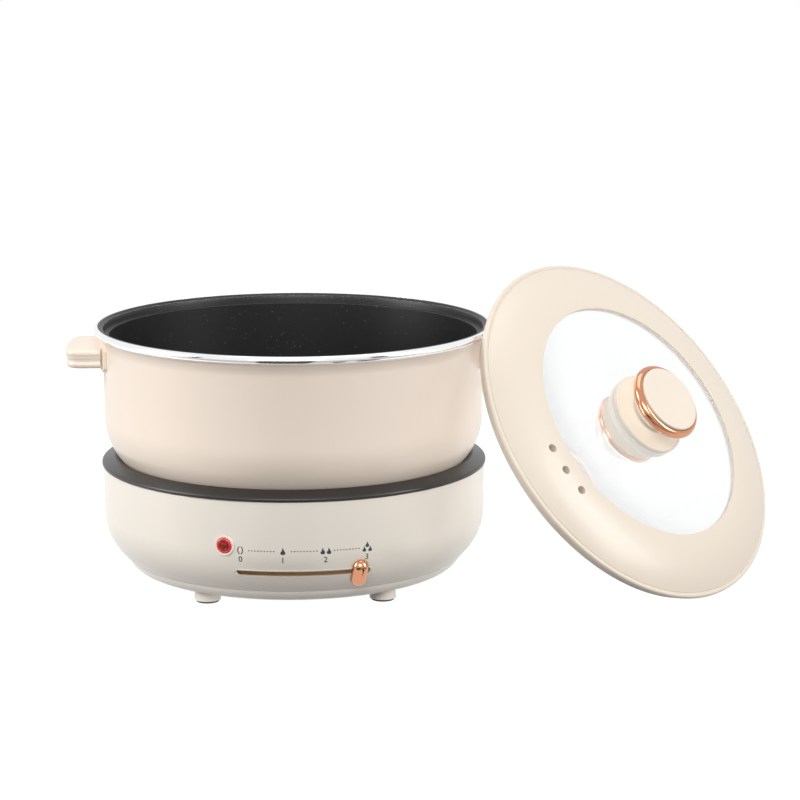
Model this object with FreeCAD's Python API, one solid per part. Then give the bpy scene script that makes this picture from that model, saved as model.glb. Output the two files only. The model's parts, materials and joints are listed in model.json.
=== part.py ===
import FreeCAD, Part
import math
import os

# Split electric hot pot: a heating base, a removable pot and a loose glass lid that leans on the pot.
# Millimetres, +Z up. The origin is the centre of the base on the table, and the controls face -Y.

V = FreeCAD.Vector
UP = V(0, 0, 1)

# General clearances
fit_gap = 0.3
slip_gap = 0.15
running_gap = 0.05
seat_gap = 0.1

# Pot
rim_r = 140.0
rim_z = 179.8
rim_band = 5.2
rim_width = 6.6
rim_overhang = 6.8
pot_wall_t = 4.0
pot_bottom_z = 68.8
pot_floor_t = 4.0
pot_corner_r = 48.0
lip_reach = 3.4
lip_height = 2.6
lip_rise = 3.2
ledge_drop = 6.4
ledge_reach = 3.4
disc_margin = 9.2
base_disc_t = 2.0

# Pot handles
handle_reach = 26.2
handle_half = 32.0
handle_top_drop = 13.5
handle_t = 13.0
handle_edge_r = 4.0
handle_corner_r = 9.0
handle_flange_t = 2.2
handle_flange_up = 2.2
lug_w = 30.0
lug_t = 4.0
lug_reach = 17.0
lug_plate_t = 1.6
lug_plate_up = 3.0
handle_screw_r = 2.0
handle_screw_head_r = 3.8
handle_screw_head_t = 2.2

# Base shell
shell_margin = 1.3
shell_top_z = 81.8
shell_bend_z = 48.8
shell_bend_r = 40.8
shell_seam_z = 16.8
shell_t = 2.6

# Collar and well
collar_over = 1.1
collar_band = 3.0
collar_gap = 2.28
collar_top_z = 88.3
collar_outer_drop = 2.6
collar_bevel = 0.9
collar_t = 2.0
collar_skirt = 5.0
trim_width = 1.2
trim_height = 0.9
well_t = 1.0
well_drop = 26.0
well_hole_gap = 2.0

# Heating plate and what carries it
plate_t = 8.0
plate_hole_r = 14.0
element_inset = 24.0
element_tube_r = 4.0
element_open_deg = 40.0
element_leg = 12.0
spacer_count = 3
spacer_inset = 10.0
spacer_r = 5.0
spacer_h = 11.0
spacer_bore_r = 1.6
post_screw_l = 10.0
reflector_margin = 6.0
reflector_t = 0.8
reflector_rim = 5.0
reflector_hole_r = 16.0

# Temperature sensor
sensor_r = 11.0
sensor_wall = 1.0
sensor_rise = 3.0
sensor_cap_h = 7.0
sensor_holder_t = 1.2
sensor_holder_h = 14.0
sensor_flange = 3.5
spring_wire_r = 0.5
spring_r = 7.0
spring_turns = 4

# Bottom cover and feet
cover_z = 8.4
cover_t = 2.4
cover_edge_r = 9.0
cover_lip = 6.0
foot_inset = 19.8
foot_deg = 52.8
foot_r = 8.6
foot_flare = 0.6
pad_t = 1.6
pad_r = 8.0
vent_count = 5
vent_inset = 8.0
vent_w = 3.0
vent_l = 22.0
vent_pitch = 9.0
boss_r = 5.0
screw_inset = 15.0
screw_r = 1.7
screw_head_r = 3.2
screw_head_t = 2.0
screw_angles = (20.0, 160.0, 200.0, 340.0)
shell_post_h = 14.0
screw_end = 5.0
rib_t = 2.2

# Controls
slot_z = 31.8
slot_h = 4.0
slot_mid_deg = 2.5
slot_half_deg = 20.2
slider_rest_deg = 19.0
slider_travel = 34.6
strip_h = 11.0
strip_t = 0.8
strip_margin_deg = 2.5
slider_knob_w = 11.3
slider_knob_h = 21.0
slider_knob_d = 6.0
slider_stem_w = 5.0
slider_arm_w = 12.0
slider_arm_t = 2.0
shaft_r = 4.0
switch_r = 24.0
switch_h = 12.0
switch_floor = 2.0
switch_tab_degs = (-35.0, -12.0, 12.0, 35.0)
hub_r = 8.0
carriage_w = 18.0
slider_knob_edge = 2.4
lamp_lens_t = 4.0
lamp_deg = -20.4
lamp_z = 50.8
lamp_r = 5.3
lamp_rim = 1.6
lamp_proud = 1.2
lamp_depth = 9.0
bulb_r = 2.6
bulb_l = 12.0

# Power inlet: the standard three-pin appliance inlet
inlet_z = 47.8
inlet_w = 27.0
inlet_h = 19.5
inlet_depth = 20.0
inlet_wall = 1.6
inlet_chamfer = 5.0
inlet_flange_w = 49.0
inlet_flange_h = 24.0
inlet_flange_t = 2.4
inlet_block_d = 9.0
inlet_screw_l = 8.7
inlet_socket = 16.0
inlet_screw_x = 20.0
pin_w = 2.0
pin_h = 4.0
pin_l = 15.0
pin_pitch = 7.0
pin_rise = 4.0

# Small parts in the base
block_l = 34.0
block_w = 14.0
block_h = 13.0
block_r = 72.8
block_deg = 142.8
thermostat_r = 8.0
thermostat_h = 6.0
thermostat_inset = 13.0
fuse_r = 2.2
fuse_l = 22.0
fuse_bracket_t = 1.0
wire_r = 1.3
lead_drop = 10.0
lead_tail = 5.0
lead_room = 11.0
tab_reach = 7.0
tab_h = 5.0

# Lid, in its own frame: its seat plane is Z = 0 and its outer side is up
lid_flange_over = 1.8
lid_flange_t = 3.0
lid_lip_gap = 0.8
lid_lip_t = 2.0
lid_lip_h = 5.0
lid_ring_t = 2.4
lid_edge_r = 1.2
lid_groove = 3.4
lid_ring_crown_r = 80.0
lid_skirt_t = 1.6
ring_over_glass = 1.2
lid_ring_width = 42.0
glass_rise = 14.6
glass_t = 4.0
glass_crown = 6.3
glass_grip = 6.5
gasket_t = 1.0
clamp_t = 1.6
steam_count = 3
steam_r = 2.6
steam_outset = 12.0
steam_pitch_deg = 9.7
steam_deg = 102.0
knob_flange_r = 30.0
knob_flange_t = 4.4
knob_stem_r = 13.5
knob_step_r = 16.5
knob_step_h = 2.4
knob_h = 25.5
knob_ring_r = 27.9
knob_ring_h = 5.6
knob_cap_r = 24.0
knob_cap_h = 3.2
knob_bore_h = 14.0
knob_flare_r = 22.0
knob_dish = 0.8
knob_screw_r = 2.5
knob_screw_head_r = 5.0
knob_screw_head_t = 3.0
washer_r = 9.0
washer_t = 1.2

# How the lid leans: the way it faces, how far it tips back, and the bearing of its lowest point
lean_azimuth = -43.8
lean_tilt = 35.8
lean_foot_azimuth = -15.7
lean_gap = 0.4
floor_gap = 0.2

# Sizes worked out from the ones above
pot_wall_r = rim_r - rim_overhang
pot_inner_r = pot_wall_r - pot_wall_t
pot_corner_x = pot_wall_r - pot_corner_r
pot_waist_drop = pot_bottom_z + pot_corner_r - collar_top_z
pot_waist_r = pot_corner_x + math.sqrt(pot_corner_r ** 2 - pot_waist_drop ** 2)
collar_inner_r = pot_waist_r + collar_gap
shell_r = pot_wall_r + shell_margin
plate_r = pot_corner_x - disc_margin
base_disc_r = plate_r
element_ring_r = plate_r - element_inset
thermostat_at = element_ring_r - thermostat_inset
spacer_circle_r = plate_r - spacer_inset
reflector_r = plate_r + reflector_margin
ledge_z = rim_z - ledge_drop
ledge_r = pot_inner_r + ledge_reach
lip_r = pot_wall_r + lip_reach
lip_z = rim_z - rim_band
handle_end_r = pot_wall_r + handle_reach
handle_z1 = rim_z - handle_top_drop
handle_z0 = handle_z1 - handle_t
plate_z1 = pot_bottom_z - base_disc_t - seat_gap
plate_z0 = plate_z1 - plate_t
reflector_z = plate_z0 - spacer_h
bend_x = shell_r - shell_bend_r
seam_r = bend_x + math.sqrt(shell_bend_r ** 2 - (shell_bend_z - shell_seam_z) ** 2)
cover_top = cover_z + cover_t
foot_circle_r = seam_r - foot_inset
screw_circle_r = seam_r - screw_inset
vent_y = element_ring_r - vent_inset
block_x = block_r * math.cos(math.radians(block_deg))
block_y = block_r * math.sin(math.radians(block_deg))
foot_z = pad_t
lid_r = pot_inner_r + lid_flange_over
lid_lip_r = pot_inner_r - lid_lip_gap
glass_window_r = lid_r - lid_ring_width
steam_at_r = glass_window_r + steam_outset


# Helpers

def save(name, *solids):
    """Write one sub-part, of one solid or several, to its own file."""
    shape = solids[0] if len(solids) == 1 else Part.makeCompound(list(solids))
    count = len(shape.Solids)
    if not shape.isValid() or count == 0:
        raise RuntimeError(name + " is not a valid solid")
    shape.exportStep("parts/" + name + ".step")
    print(name, count, round(shape.Volume, 1))


def polar(r, deg, z=0.0):
    a = math.radians(deg)
    return V(r * math.cos(a), r * math.sin(a), z)


def front(r, deg, z=0.0):
    """A point at an angle from the front middle, positive towards +X."""
    return polar(r, deg - 90, z)


def arc(p, q, r):
    """A short circular edge from p to q in the XZ plane; a positive r bends to the left of the way."""
    chord = q - p
    half = chord.Length / 2
    rise = abs(r) - math.sqrt(max(r * r - half * half, 0))
    side = V(-chord.z, 0, chord.x) / chord.Length
    middle = (p + q) / 2 + side * (rise if r > 0 else -rise)
    return Part.Arc(p, middle, q).toShape()


def section(points):
    """A closed face in the XZ plane. Each point is (r, z) or (r, z, radius of the edge that ends there)."""
    edges = []
    for i, point in enumerate(points):
        before = points[i - 1]
        p = V(before[0], 0, before[1])
        q = V(point[0], 0, point[1])
        bend = point[2] if len(point) > 2 else 0
        edges.append(arc(p, q, bend) if bend else Part.makeLine(p, q))
    return Part.Face(Part.Wire(edges))


def turn(points, deg=360.0, start=0.0):
    """Revolve a section about Z."""
    face = section(points)
    face.rotate(V(), UP, start)
    return face.revolve(V(), UP, deg)


def cyl(r, h, at, axis=UP):
    return Part.makeCylinder(r, h, at, axis)


def tube(r, wall, h, at, axis=UP):
    return cyl(r, h, at, axis).cut(cyl(r - wall, h, at, axis))


def box(x0, x1, y0, y1, z0, z1):
    return Part.makeBox(x1 - x0, y1 - y0, z1 - z0, V(x0, y0, z0))


def turned(shape, deg, centre=V(), axis=UP):
    copy = shape.copy()
    copy.rotate(centre, axis, deg)
    return copy


def around(shape, count, first=0.0):
    return [turned(shape, first + i * 360.0 / count) for i in range(count)]


def cut_all(shape, tools):
    for tool in tools:
        shape = shape.cut(tool)
    return shape


def join(shapes):
    result = shapes[0]
    for shape in shapes[1:]:
        result = result.fuse(shape)
    return result.removeSplitter()


def round_edges(shape, radius, wanted):
    edges = [e for e in shape.Edges if wanted(e)]
    return shape.makeFillet(radius, edges) if edges else shape


def screw(at, axis, length, r, head_r, head_t):
    """A pan-head screw: its head lies at the point and its shank runs along the axis."""
    head = cyl(head_r, head_t, at - axis * head_t, axis)
    body = head.fuse(cyl(r, length, at, axis)).removeSplitter()
    slot = cyl(head_r * 0.42, head_t * 0.5, at - axis * head_t, axis)
    return body.cut(slot)


def pipe(points, r):
    """A round tube along straight runs joined by tangent arcs as large as the runs allow."""
    edges = []
    start = points[0]
    for i in range(1, len(points) - 1):
        a, b, c = points[i - 1], points[i], points[i + 1]
        back = a - b
        ahead = c - b
        reach = 0.45 * min(back.Length, ahead.Length)
        p = b + back.normalize() * reach
        q = b + ahead.normalize() * reach
        half = math.radians(180) - (a - b).getAngle(c - b)
        bend = reach / math.tan(half / 2)
        to_centre = ((p + q) / 2 - b)
        apex = b + to_centre.normalize() * (math.hypot(reach, bend) - bend)
        edges.append(Part.makeLine(start, p))
        edges.append(Part.Arc(p, apex, q).toShape())
        start = q
    edges.append(Part.makeLine(start, points[-1]))
    path = Part.Wire(edges)
    ring = Part.Wire(Part.makeCircle(r, points[0], points[1] - points[0]))
    return path.makePipeShell([ring], True, False)


def shell_surface_r(z):
    """The outer radius of the base shell at a height."""
    if z >= shell_bend_z:
        return shell_r
    return bend_x + math.sqrt(shell_bend_r ** 2 - (shell_bend_z - z) ** 2)


def shell_lean(z):
    """How far the shell's surface normal points down at a height, in degrees."""
    return math.degrees(math.asin(max(shell_bend_z - z, 0) / shell_bend_r))


# Pot

def pot_body():
    """Cast pot with a rounded bottom, a flared lip under the rim ring and a ledge for the lid."""
    c = pot_corner_r
    inner_c = c - pot_wall_t
    floor_z = pot_bottom_z + pot_floor_t
    profile = [
        (0, pot_bottom_z),
        (pot_wall_r - c, pot_bottom_z),
        (pot_wall_r, pot_bottom_z + c, -c),
        (pot_wall_r, lip_z - lip_rise - lip_height),
        (lip_r, lip_z - lip_height),
        (lip_r, lip_z),
        (rim_r - rim_width - slip_gap, lip_z),
        (rim_r - rim_width - slip_gap, rim_z - 1.0),
        (ledge_r + 0.2, rim_z - 1.0),
        (ledge_r, ledge_z),
        (pot_inner_r, ledge_z),
        (pot_inner_r, floor_z + inner_c),
        (pot_inner_r - inner_c, floor_z, inner_c),
        (0, floor_z),
    ]
    return turn(profile)


def rim_ring():
    """Bright rolled ring that caps the pot's edge."""
    r0 = rim_r - rim_width
    bead = rim_band / 2
    profile = [
        (r0, lip_z),
        (rim_r - bead, lip_z),
        (rim_r, lip_z + bead, -bead),
        (rim_r - bead, rim_z, -bead),
        (r0 + 1.2, rim_z),
        (r0, rim_z - 1.2, -1.2),
    ]
    return turn(profile)


def pot_base_disc():
    return cyl(base_disc_r, base_disc_t, V(0, 0, pot_bottom_z - base_disc_t))


def handle_lug():
    """Steel lug on the pot's wall that carries one handle, drawn on the +X side."""
    z = (handle_z0 + handle_z1) / 2 - lug_t / 2
    half = lug_w / 2
    plate = box(0, 2 * rim_r, -half, half, z - lug_plate_up, z + lug_t + lug_plate_up)
    wall = tube(pot_wall_r + lug_plate_t, lug_plate_t, 2 * rim_z, V())
    tongue = box(pot_wall_r - 4, pot_wall_r + lug_reach, -half * 0.8, half * 0.8, z, z + lug_t)
    tongue = tongue.cut(cyl(pot_wall_r, 2 * rim_z, V()))
    lug = join([plate.common(wall), tongue])
    return lug.cut(cyl(handle_screw_r - 0.3, 3 * lug_t, V(lug_screw_r(), 0, z - lug_t)))


def lug_screw_r():
    return pot_wall_r + lug_reach * 0.62


def handle():
    """Ear handle on the +X side: its end is an arc about the pot's axis."""
    h = handle_t
    blank = cyl(handle_end_r, h, V(0, 0, handle_z0))
    band = box(0, 2 * rim_r, -handle_half, handle_half, handle_z0, handle_z1)
    ear = blank.common(band)
    root_r = pot_wall_r + seat_gap
    ear = ear.cut(cyl(root_r + handle_flange_t / 2, 2 * rim_z, V()))
    corner = [
        e for e in ear.Edges
        if e.Length > h - 0.1 and e.Length < h + 0.1 and e.BoundBox.XMin > (root_r + handle_end_r) / 2
    ]
    ear = ear.makeFillet(handle_corner_r, corner)
    ear = round_edges(ear, handle_edge_r, lambda e: handle_outer_edge(e))
    flange_half = handle_half + handle_flange_up
    flange = tube(root_r + handle_flange_t, handle_flange_t, h + 2 * handle_flange_up,
                  V(0, 0, handle_z0 - handle_flange_up))
    flange = flange.common(box(0, 2 * rim_r, -flange_half, flange_half, 0, 2 * rim_z))
    ear = join([ear, flange])
    z = (handle_z0 + handle_z1) / 2 - lug_t / 2
    room = lug_w / 2 + slip_gap
    plate_x = pot_wall_r + lug_plate_t + slip_gap
    tongue_x = pot_wall_r + lug_reach + slip_gap
    plate_room = box(0, plate_x, -room, room, z - lug_plate_up - slip_gap, z + lug_t + lug_plate_up + slip_gap)
    tongue_room = box(0, tongue_x, -room, room, z - slip_gap, z + lug_t + slip_gap)
    shank = cyl(handle_screw_r + slip_gap, z - handle_z0, V(lug_screw_r(), 0, handle_z0))
    head = cyl(handle_screw_head_r + fit_gap, handle_screw_head_t, V(lug_screw_r(), 0, handle_z0))
    return cut_all(ear, [plate_room, tongue_room, shank, head])


def handle_outer_edge(edge):
    """The long top and bottom edges round the free end of the ear."""
    b = edge.BoundBox
    flat = b.ZLength < 0.01
    at_face = abs(b.ZMin - handle_z0) < 0.01 or abs(b.ZMin - handle_z1) < 0.01
    at_root = b.XMax < pot_wall_r + handle_flange_t
    return flat and at_face and not at_root


def handle_screw():
    z = (handle_z0 + handle_z1) / 2
    head_seat = handle_z0 + handle_screw_head_t
    length = z - head_seat
    return screw(V(lug_screw_r(), 0, head_seat), UP, length, handle_screw_r - 0.4,
                 handle_screw_head_r, handle_screw_head_t)


# Base

def base_shell():
    """Outer shell: a straight wall that curves in to the seam with the cover."""
    t = shell_t
    inner_bend = shell_bend_r - t
    inner_seam = bend_x + math.sqrt(inner_bend ** 2 - (shell_bend_z - shell_seam_z) ** 2)
    profile = [
        (seam_r, shell_seam_z),
        (shell_r, shell_bend_z, -shell_bend_r),
        (shell_r, shell_top_z - 0.8),
        (shell_r - 0.8, shell_top_z, -0.8),
        (shell_r - t, shell_top_z),
        (shell_r - t, shell_bend_z),
        (inner_seam, shell_seam_z, inner_bend),
    ]
    body = turn(profile)
    body = body.cut(slot_tool(slot_h))
    body = body.cut(along_front(lamp_deg, lamp_z, lamp_r + lamp_rim + slip_gap))
    body = body.cut(inlet_opening())
    inside = turn([(0, shell_seam_z), (seam_r - 1, shell_seam_z), (shell_r - 1, shell_bend_z, -shell_bend_r),
                   (shell_r - 1, shell_top_z), (0, shell_top_z)])
    extra = [post.common(inside) for post in shell_posts() + inlet_blocks()]
    return join([body] + extra)


def shell_posts():
    """Screw posts inside the shell, each with a rib out to the wall."""
    z0 = cover_post_top() + seat_gap
    post = cyl(boss_r, shell_post_h, V(screw_circle_r, 0, z0))
    rib = box(screw_circle_r, shell_r, -rib_t / 2, rib_t / 2, z0, z0 + shell_post_h)
    post = join([post, rib]).cut(cyl(screw_r - 0.3, shell_post_h - screw_end / 2, V(screw_circle_r, 0, z0)))
    return [turned(post, deg) for deg in screw_angles]


def cover_post_top():
    return shell_seam_z - fit_gap


def slot_tool(h):
    """The control slot with rounded ends, as a ring sector through the shell."""
    z0 = slot_z - h / 2
    end = math.degrees(h / 2 / shell_surface_r(slot_z))
    sweep = 2 * (slot_half_deg - end)
    ring = tube(shell_r + 2, shell_t + 24, h, V(0, 0, z0))
    wedge = Part.makeCylinder(shell_r + 5, h, V(0, 0, z0), UP, sweep)
    body = ring.common(turned(wedge, slot_mid_deg - 90 - sweep / 2))
    ends = [along_front(slot_mid_deg + side * sweep / 2, slot_z, h / 2) for side in (-1, 1)]
    return join([body] + ends)


def along_front(deg, z, r):
    """A level round tool that crosses the shell at an angle from the front."""
    out = front(1, deg)
    return cyl(r, 2 * shell_bend_r, out * (shell_r - shell_bend_r) + V(0, 0, z), out)


def inlet_outline(w, h, chamfer, y0, y1):
    """The inlet's outline, a rectangle with its two top corners cut, run along Y."""
    x, z = w / 2, h / 2
    points = [(-x, -z), (x, -z), (x, z - chamfer), (x - chamfer, z), (chamfer - x, z), (-x, z - chamfer)]
    corners = [V(px, y0, inlet_z + pz) for px, pz in points]
    face = Part.Face(Part.makePolygon(corners + [corners[0]]))
    return face.extrude(V(0, y1 - y0, 0))


def inlet_face_y():
    """The plane of the inlet's flange, just inside the curved back wall at its lower corners."""
    r = shell_surface_r(inlet_z - inlet_flange_h / 2)
    return math.sqrt(r ** 2 - (inlet_flange_w / 2) ** 2) - fit_gap


def inlet_seat_y():
    return inlet_face_y() - inlet_flange_t - seat_gap


def inlet_blocks():
    """Two blocks behind the inlet's flange that take its screws."""
    half = inlet_flange_w / 2
    y = inlet_seat_y()
    blocks = []
    for side in (-1, 1):
        x0 = side * (inlet_w / 2 + slip_gap)
        x1 = side * (half + 6)
        low, high = min(x0, x1), max(x0, x1)
        block = box(low, high, y - inlet_block_d, y, inlet_z - inlet_h / 2, inlet_z + inlet_h / 2)
        hole = cyl(screw_r - 0.3, inlet_block_d, V(side * inlet_screw_x, y, inlet_z), V(0, -1, 0))
        blocks.append(block.cut(hole))
    return blocks


def inlet_opening():
    y = inlet_face_y()
    w = inlet_flange_w + 2 * fit_gap
    h = inlet_flange_h + 2 * fit_gap
    return box(-w / 2, w / 2, y - shell_t * 2, shell_r + 2, inlet_z - h / 2, inlet_z + h / 2)


def collar_ring():
    """Dark collar on top of the shell, with a skirt that locates it inside the wall."""
    r1 = shell_r + collar_over
    z1 = shell_top_z + collar_band
    skirt_r = shell_r - shell_t - slip_gap
    profile = [
        (collar_inner_r, collar_top_z),
        (collar_inner_r, collar_top_z - collar_t),
        (skirt_r - collar_t, shell_top_z),
        (skirt_r - collar_t, shell_top_z - collar_skirt),
        (skirt_r, shell_top_z - collar_skirt),
        (skirt_r, shell_top_z),
        (r1, shell_top_z),
        (r1, z1 - collar_bevel),
        (r1 - collar_bevel, z1),
    ]
    return turn(profile)


def collar_trim():
    """Thin brown ring round the collar's inner edge."""
    r0 = collar_inner_r - trim_width - slip_gap
    z1 = collar_top_z
    return turn([(r0, z1 - trim_height - collar_t), (r0 + trim_width, z1 - trim_height - collar_t),
                 (r0 + trim_width, z1), (r0 + 0.5, z1), (r0, z1 - 0.5, -0.5)])


def well_pan():
    """Dark sheet pan round the heating plate, hung from the collar."""
    r1 = collar_inner_r - trim_width - 2 * slip_gap
    z1 = collar_top_z - collar_t - trim_height - slip_gap
    z0 = collar_top_z - well_drop
    r0 = plate_r + well_hole_gap
    bend = 10.0
    wide = collar_inner_r + fit_gap
    profile = [
        (r0, z0),
        (r1 - well_t - bend, z0),
        (r1 - well_t, z0 + bend, -bend),
        (r1 - well_t, z1 - well_t),
        (wide, z1 - well_t),
        (wide, z1),
        (r1 - 2 * well_t, z1),
        (r1 - 2 * well_t, z0 + bend),
        (r1 - well_t - bend, z0 + well_t, bend - well_t),
        (r0, z0 + well_t),
    ]
    return turn(profile)


def heating_plate():
    """Cast plate with a groove for the element and a hole for the sensor."""
    plate = cyl(plate_r, plate_t, V(0, 0, plate_z0))
    plate = round_edges(plate, 1.5, lambda e: e.BoundBox.ZMin > plate_z1 - 0.1)
    plate = plate.cut(cyl(plate_hole_r, plate_t, V(0, 0, plate_z0)))
    groove = Part.makeTorus(element_ring_r, element_tube_r + slip_gap, V(0, 0, element_z()))
    plate = plate.cut(groove)
    holes = cyl(spacer_bore_r, plate_t * 0.6, V(spacer_circle_r, 0, plate_z0))
    return cut_all(plate, around(holes, spacer_count, 30))


def element_z():
    return plate_z0 - 1.0


def heating_element():
    """Tubular element: an open ring with a leg down at each end."""
    z = element_z()
    half = element_open_deg / 2
    circle = Part.makeCircle(element_tube_r, V(element_ring_r, 0, z), V(0, 1, 0))
    face = Part.Face(Part.Wire(circle))
    face.rotate(V(), UP, 90 + half)
    ring = face.revolve(V(), UP, 360 - element_open_deg)
    legs = []
    for side in (-1, 1):
        at = polar(element_ring_r, 90 + side * half, z)
        legs.append(Part.makeSphere(element_tube_r, at))
        legs.append(cyl(element_tube_r * 0.6, element_leg, at - UP * element_leg))
    return join([ring] + legs)


def plate_spacers():
    seat = V(spacer_circle_r, 0, reflector_z + reflector_t)
    spacer = tube(spacer_r, spacer_r - spacer_bore_r, spacer_h - reflector_t, seat)
    return around(spacer, spacer_count, 30)


def reflector():
    """Bright dish under the element, with a turned-up rim."""
    r = reflector_r
    t = reflector_t
    z = reflector_z
    dish = turn([(reflector_hole_r, z), (r, z), (r, z + reflector_rim), (r - t, z + reflector_rim),
                 (r - t, z + t), (reflector_hole_r, z + t)])
    hole = cyl(spacer_bore_r + slip_gap, 4, V(spacer_circle_r, 0, z - 1))
    dish = cut_all(dish, around(hole, 2 * spacer_count, 30))
    for side in (-1, 1):
        at = polar(element_ring_r, 90 + side * element_open_deg / 2, z - 1)
        dish = dish.cut(cyl(element_tube_r, 4, at))
    return dish


def plate_screws():
    """Screws up through the reflector and the spacers into the plate."""
    length = spacer_h + plate_t * 0.5
    one = screw(V(spacer_circle_r, 0, reflector_z), UP, length, spacer_bore_r - 0.1, spacer_r * 0.6, 1.6)
    return around(one, spacer_count, 30)


def reflector_screws():
    """Screws down through the reflector into the cover's posts."""
    at = V(spacer_circle_r, 0, reflector_z + reflector_t)
    return around(screw(at, -UP, post_screw_l, spacer_bore_r - 0.4, spacer_r * 0.6, 1.6), spacer_count, 90)


def sensor_cap():
    """Spring-loaded cap pressed down by the pot."""
    z1 = pot_bottom_z - base_disc_t - seat_gap
    cap = cyl(sensor_r, sensor_cap_h, V(0, 0, z1 - sensor_cap_h))
    cap = round_edges(cap, 1.0, lambda e: e.BoundBox.ZMin > z1 - 0.1)
    return cap.cut(cyl(sensor_r - sensor_wall, sensor_cap_h - sensor_wall, V(0, 0, z1 - sensor_cap_h)))


def holder_floor_z():
    return plate_z1 - sensor_holder_h


def sensor_holder():
    """Cup with a flange under the plate: it guides the cap and seats its spring."""
    r = sensor_r + running_gap + sensor_holder_t
    z0 = holder_floor_z()
    z1 = plate_z0 - seat_gap
    cup = cyl(r, sensor_holder_h - 3.0 + sensor_holder_t, V(0, 0, z0 - sensor_holder_t))
    flange = cyl(r + sensor_flange, sensor_holder_t, V(0, 0, z1 - sensor_holder_t))
    cup = join([cup, flange]).cut(cyl(sensor_r + running_gap, sensor_holder_h, V(0, 0, z0)))
    return cup.cut(cyl(2.5, 10, V(0, 0, z0 - 5)))


def sensor_spring():
    """Coil spring between the holder's floor and the cap's top."""
    z0 = holder_floor_z() + spring_wire_r + 0.2
    z1 = pot_bottom_z - base_disc_t - seat_gap - sensor_wall - spring_wire_r - 0.2
    height = z1 - z0
    helix = Part.makeLongHelix(height / spring_turns, height, spring_r)
    helix.translate(V(0, 0, z0))
    ring = Part.Wire(Part.makeCircle(spring_wire_r, V(spring_r, 0, z0), V(0, 1, 0)))
    return Part.Wire(helix.Edges).makePipeShell([ring], True, True)


# Bottom cover and feet

def foot_places():
    return [polar(foot_circle_r, deg) for deg in (180 + foot_deg, 180 - foot_deg, -foot_deg, foot_deg)]


def bottom_cover():
    """Dished cover with four feet, vents, posts for the reflector and a seat for the switch."""
    r1 = seam_r - fit_gap
    t = cover_t
    edge = cover_edge_r
    z1 = cover_post_top()
    lip_r1 = bend_x + math.sqrt((shell_bend_r - shell_t) ** 2 - (shell_bend_z - z1) ** 2) - fit_gap
    profile = [
        (0, cover_z),
        (r1 - edge, cover_z),
        (r1, z1, -cover_corner()),
        (lip_r1, z1),
        (lip_r1, z1 + cover_lip),
        (lip_r1 - t, z1 + cover_lip),
        (lip_r1 - t, z1),
        (lip_r1 - t - 3, cover_top, cover_corner()),
        (0, cover_top),
    ]
    cover = turn(profile)
    for deg in screw_angles:
        gap = cyl(boss_r + fit_gap, cover_lip * 2, polar(screw_circle_r, deg, z1 + seat_gap))
        half = rib_t / 2 + fit_gap
        rib_gap = box(screw_circle_r, shell_r, -half, half, z1 + seat_gap, z1 + 2 * cover_lip)
        cover = cover.cut(gap).cut(turned(rib_gap, deg))
    parts = [cover]
    for at in foot_places():
        parts.append(Part.makeCone(foot_r + foot_flare, foot_r, cover_z + 1 - foot_z, at + UP * foot_z))
    parts += around(cyl(boss_r, reflector_post_h(), V(spacer_circle_r, 0, cover_z + 1)), spacer_count, 90)
    for deg in screw_angles:
        parts.append(cyl(boss_r, z1 - cover_z - 1, polar(screw_circle_r, deg, cover_z + 1)))
    cover = join(parts)
    for deg in screw_angles:
        at = polar(screw_circle_r, deg, cover_z - 1)
        cover = cover.cut(cyl(screw_r + slip_gap, 20, at))
        cover = cover.cut(cyl(screw_head_r + fit_gap, screw_head_t + 1 + fit_gap, at))
    depth = post_screw_l + 1
    post_hole = cyl(spacer_bore_r - 0.3, depth, V(spacer_circle_r, 0, reflector_z - depth))
    cover = cut_all(cover, around(post_hole, spacer_count, 90))
    vents = []
    for side in (-1, 1):
        for i in range(vent_count):
            x = (i - (vent_count - 1) / 2) * vent_pitch
            y = side * vent_y
            vents.append(box(x - vent_w / 2, x + vent_w / 2, y - vent_l / 2, y + vent_l / 2, 0, cover_top + 1))
    return cut_all(cover, vents)


def cover_corner():
    return cover_edge_r * 1.3


def reflector_post_h():
    return reflector_z - cover_z - 1 - seat_gap


def foot_pads():
    """Rubber pads under the feet."""
    pads = []
    for at in foot_places():
        pad = cyl(pad_r, pad_t, at)
        pads.append(round_edges(pad, 0.6, lambda e: e.BoundBox.ZMax < 0.01 and e.BoundBox.ZLength < 0.01))
    return pads


def cover_screws():
    at_z = cover_z + screw_head_t + fit_gap
    length = shell_seam_z + shell_post_h - screw_end - at_z
    return [screw(polar(screw_circle_r, deg, at_z), UP, length, screw_r - 0.4, screw_head_r, screw_head_t)
            for deg in screw_angles]


# Controls

def strip_r():
    """Outer radius of the brown strip, just inside the shell at the strip's lower edge."""
    low = slot_z - strip_h / 2
    inner = bend_x + math.sqrt((shell_bend_r - shell_t) ** 2 - (shell_bend_z - low) ** 2)
    return inner - fit_gap


def stem(gap):
    """The slider's stem through the slot, drawn along +X."""
    half_w = slider_stem_w / 2 + gap
    half_h = slot_h / 2 - fit_gap + gap
    r0 = strip_r() - strip_t - 1
    r1 = shell_surface_r(slot_z) + slider_knob_d * 0.6 + gap
    return box(r0, r1, -half_w, half_w, slot_z - half_h, slot_z + half_h)


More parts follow.
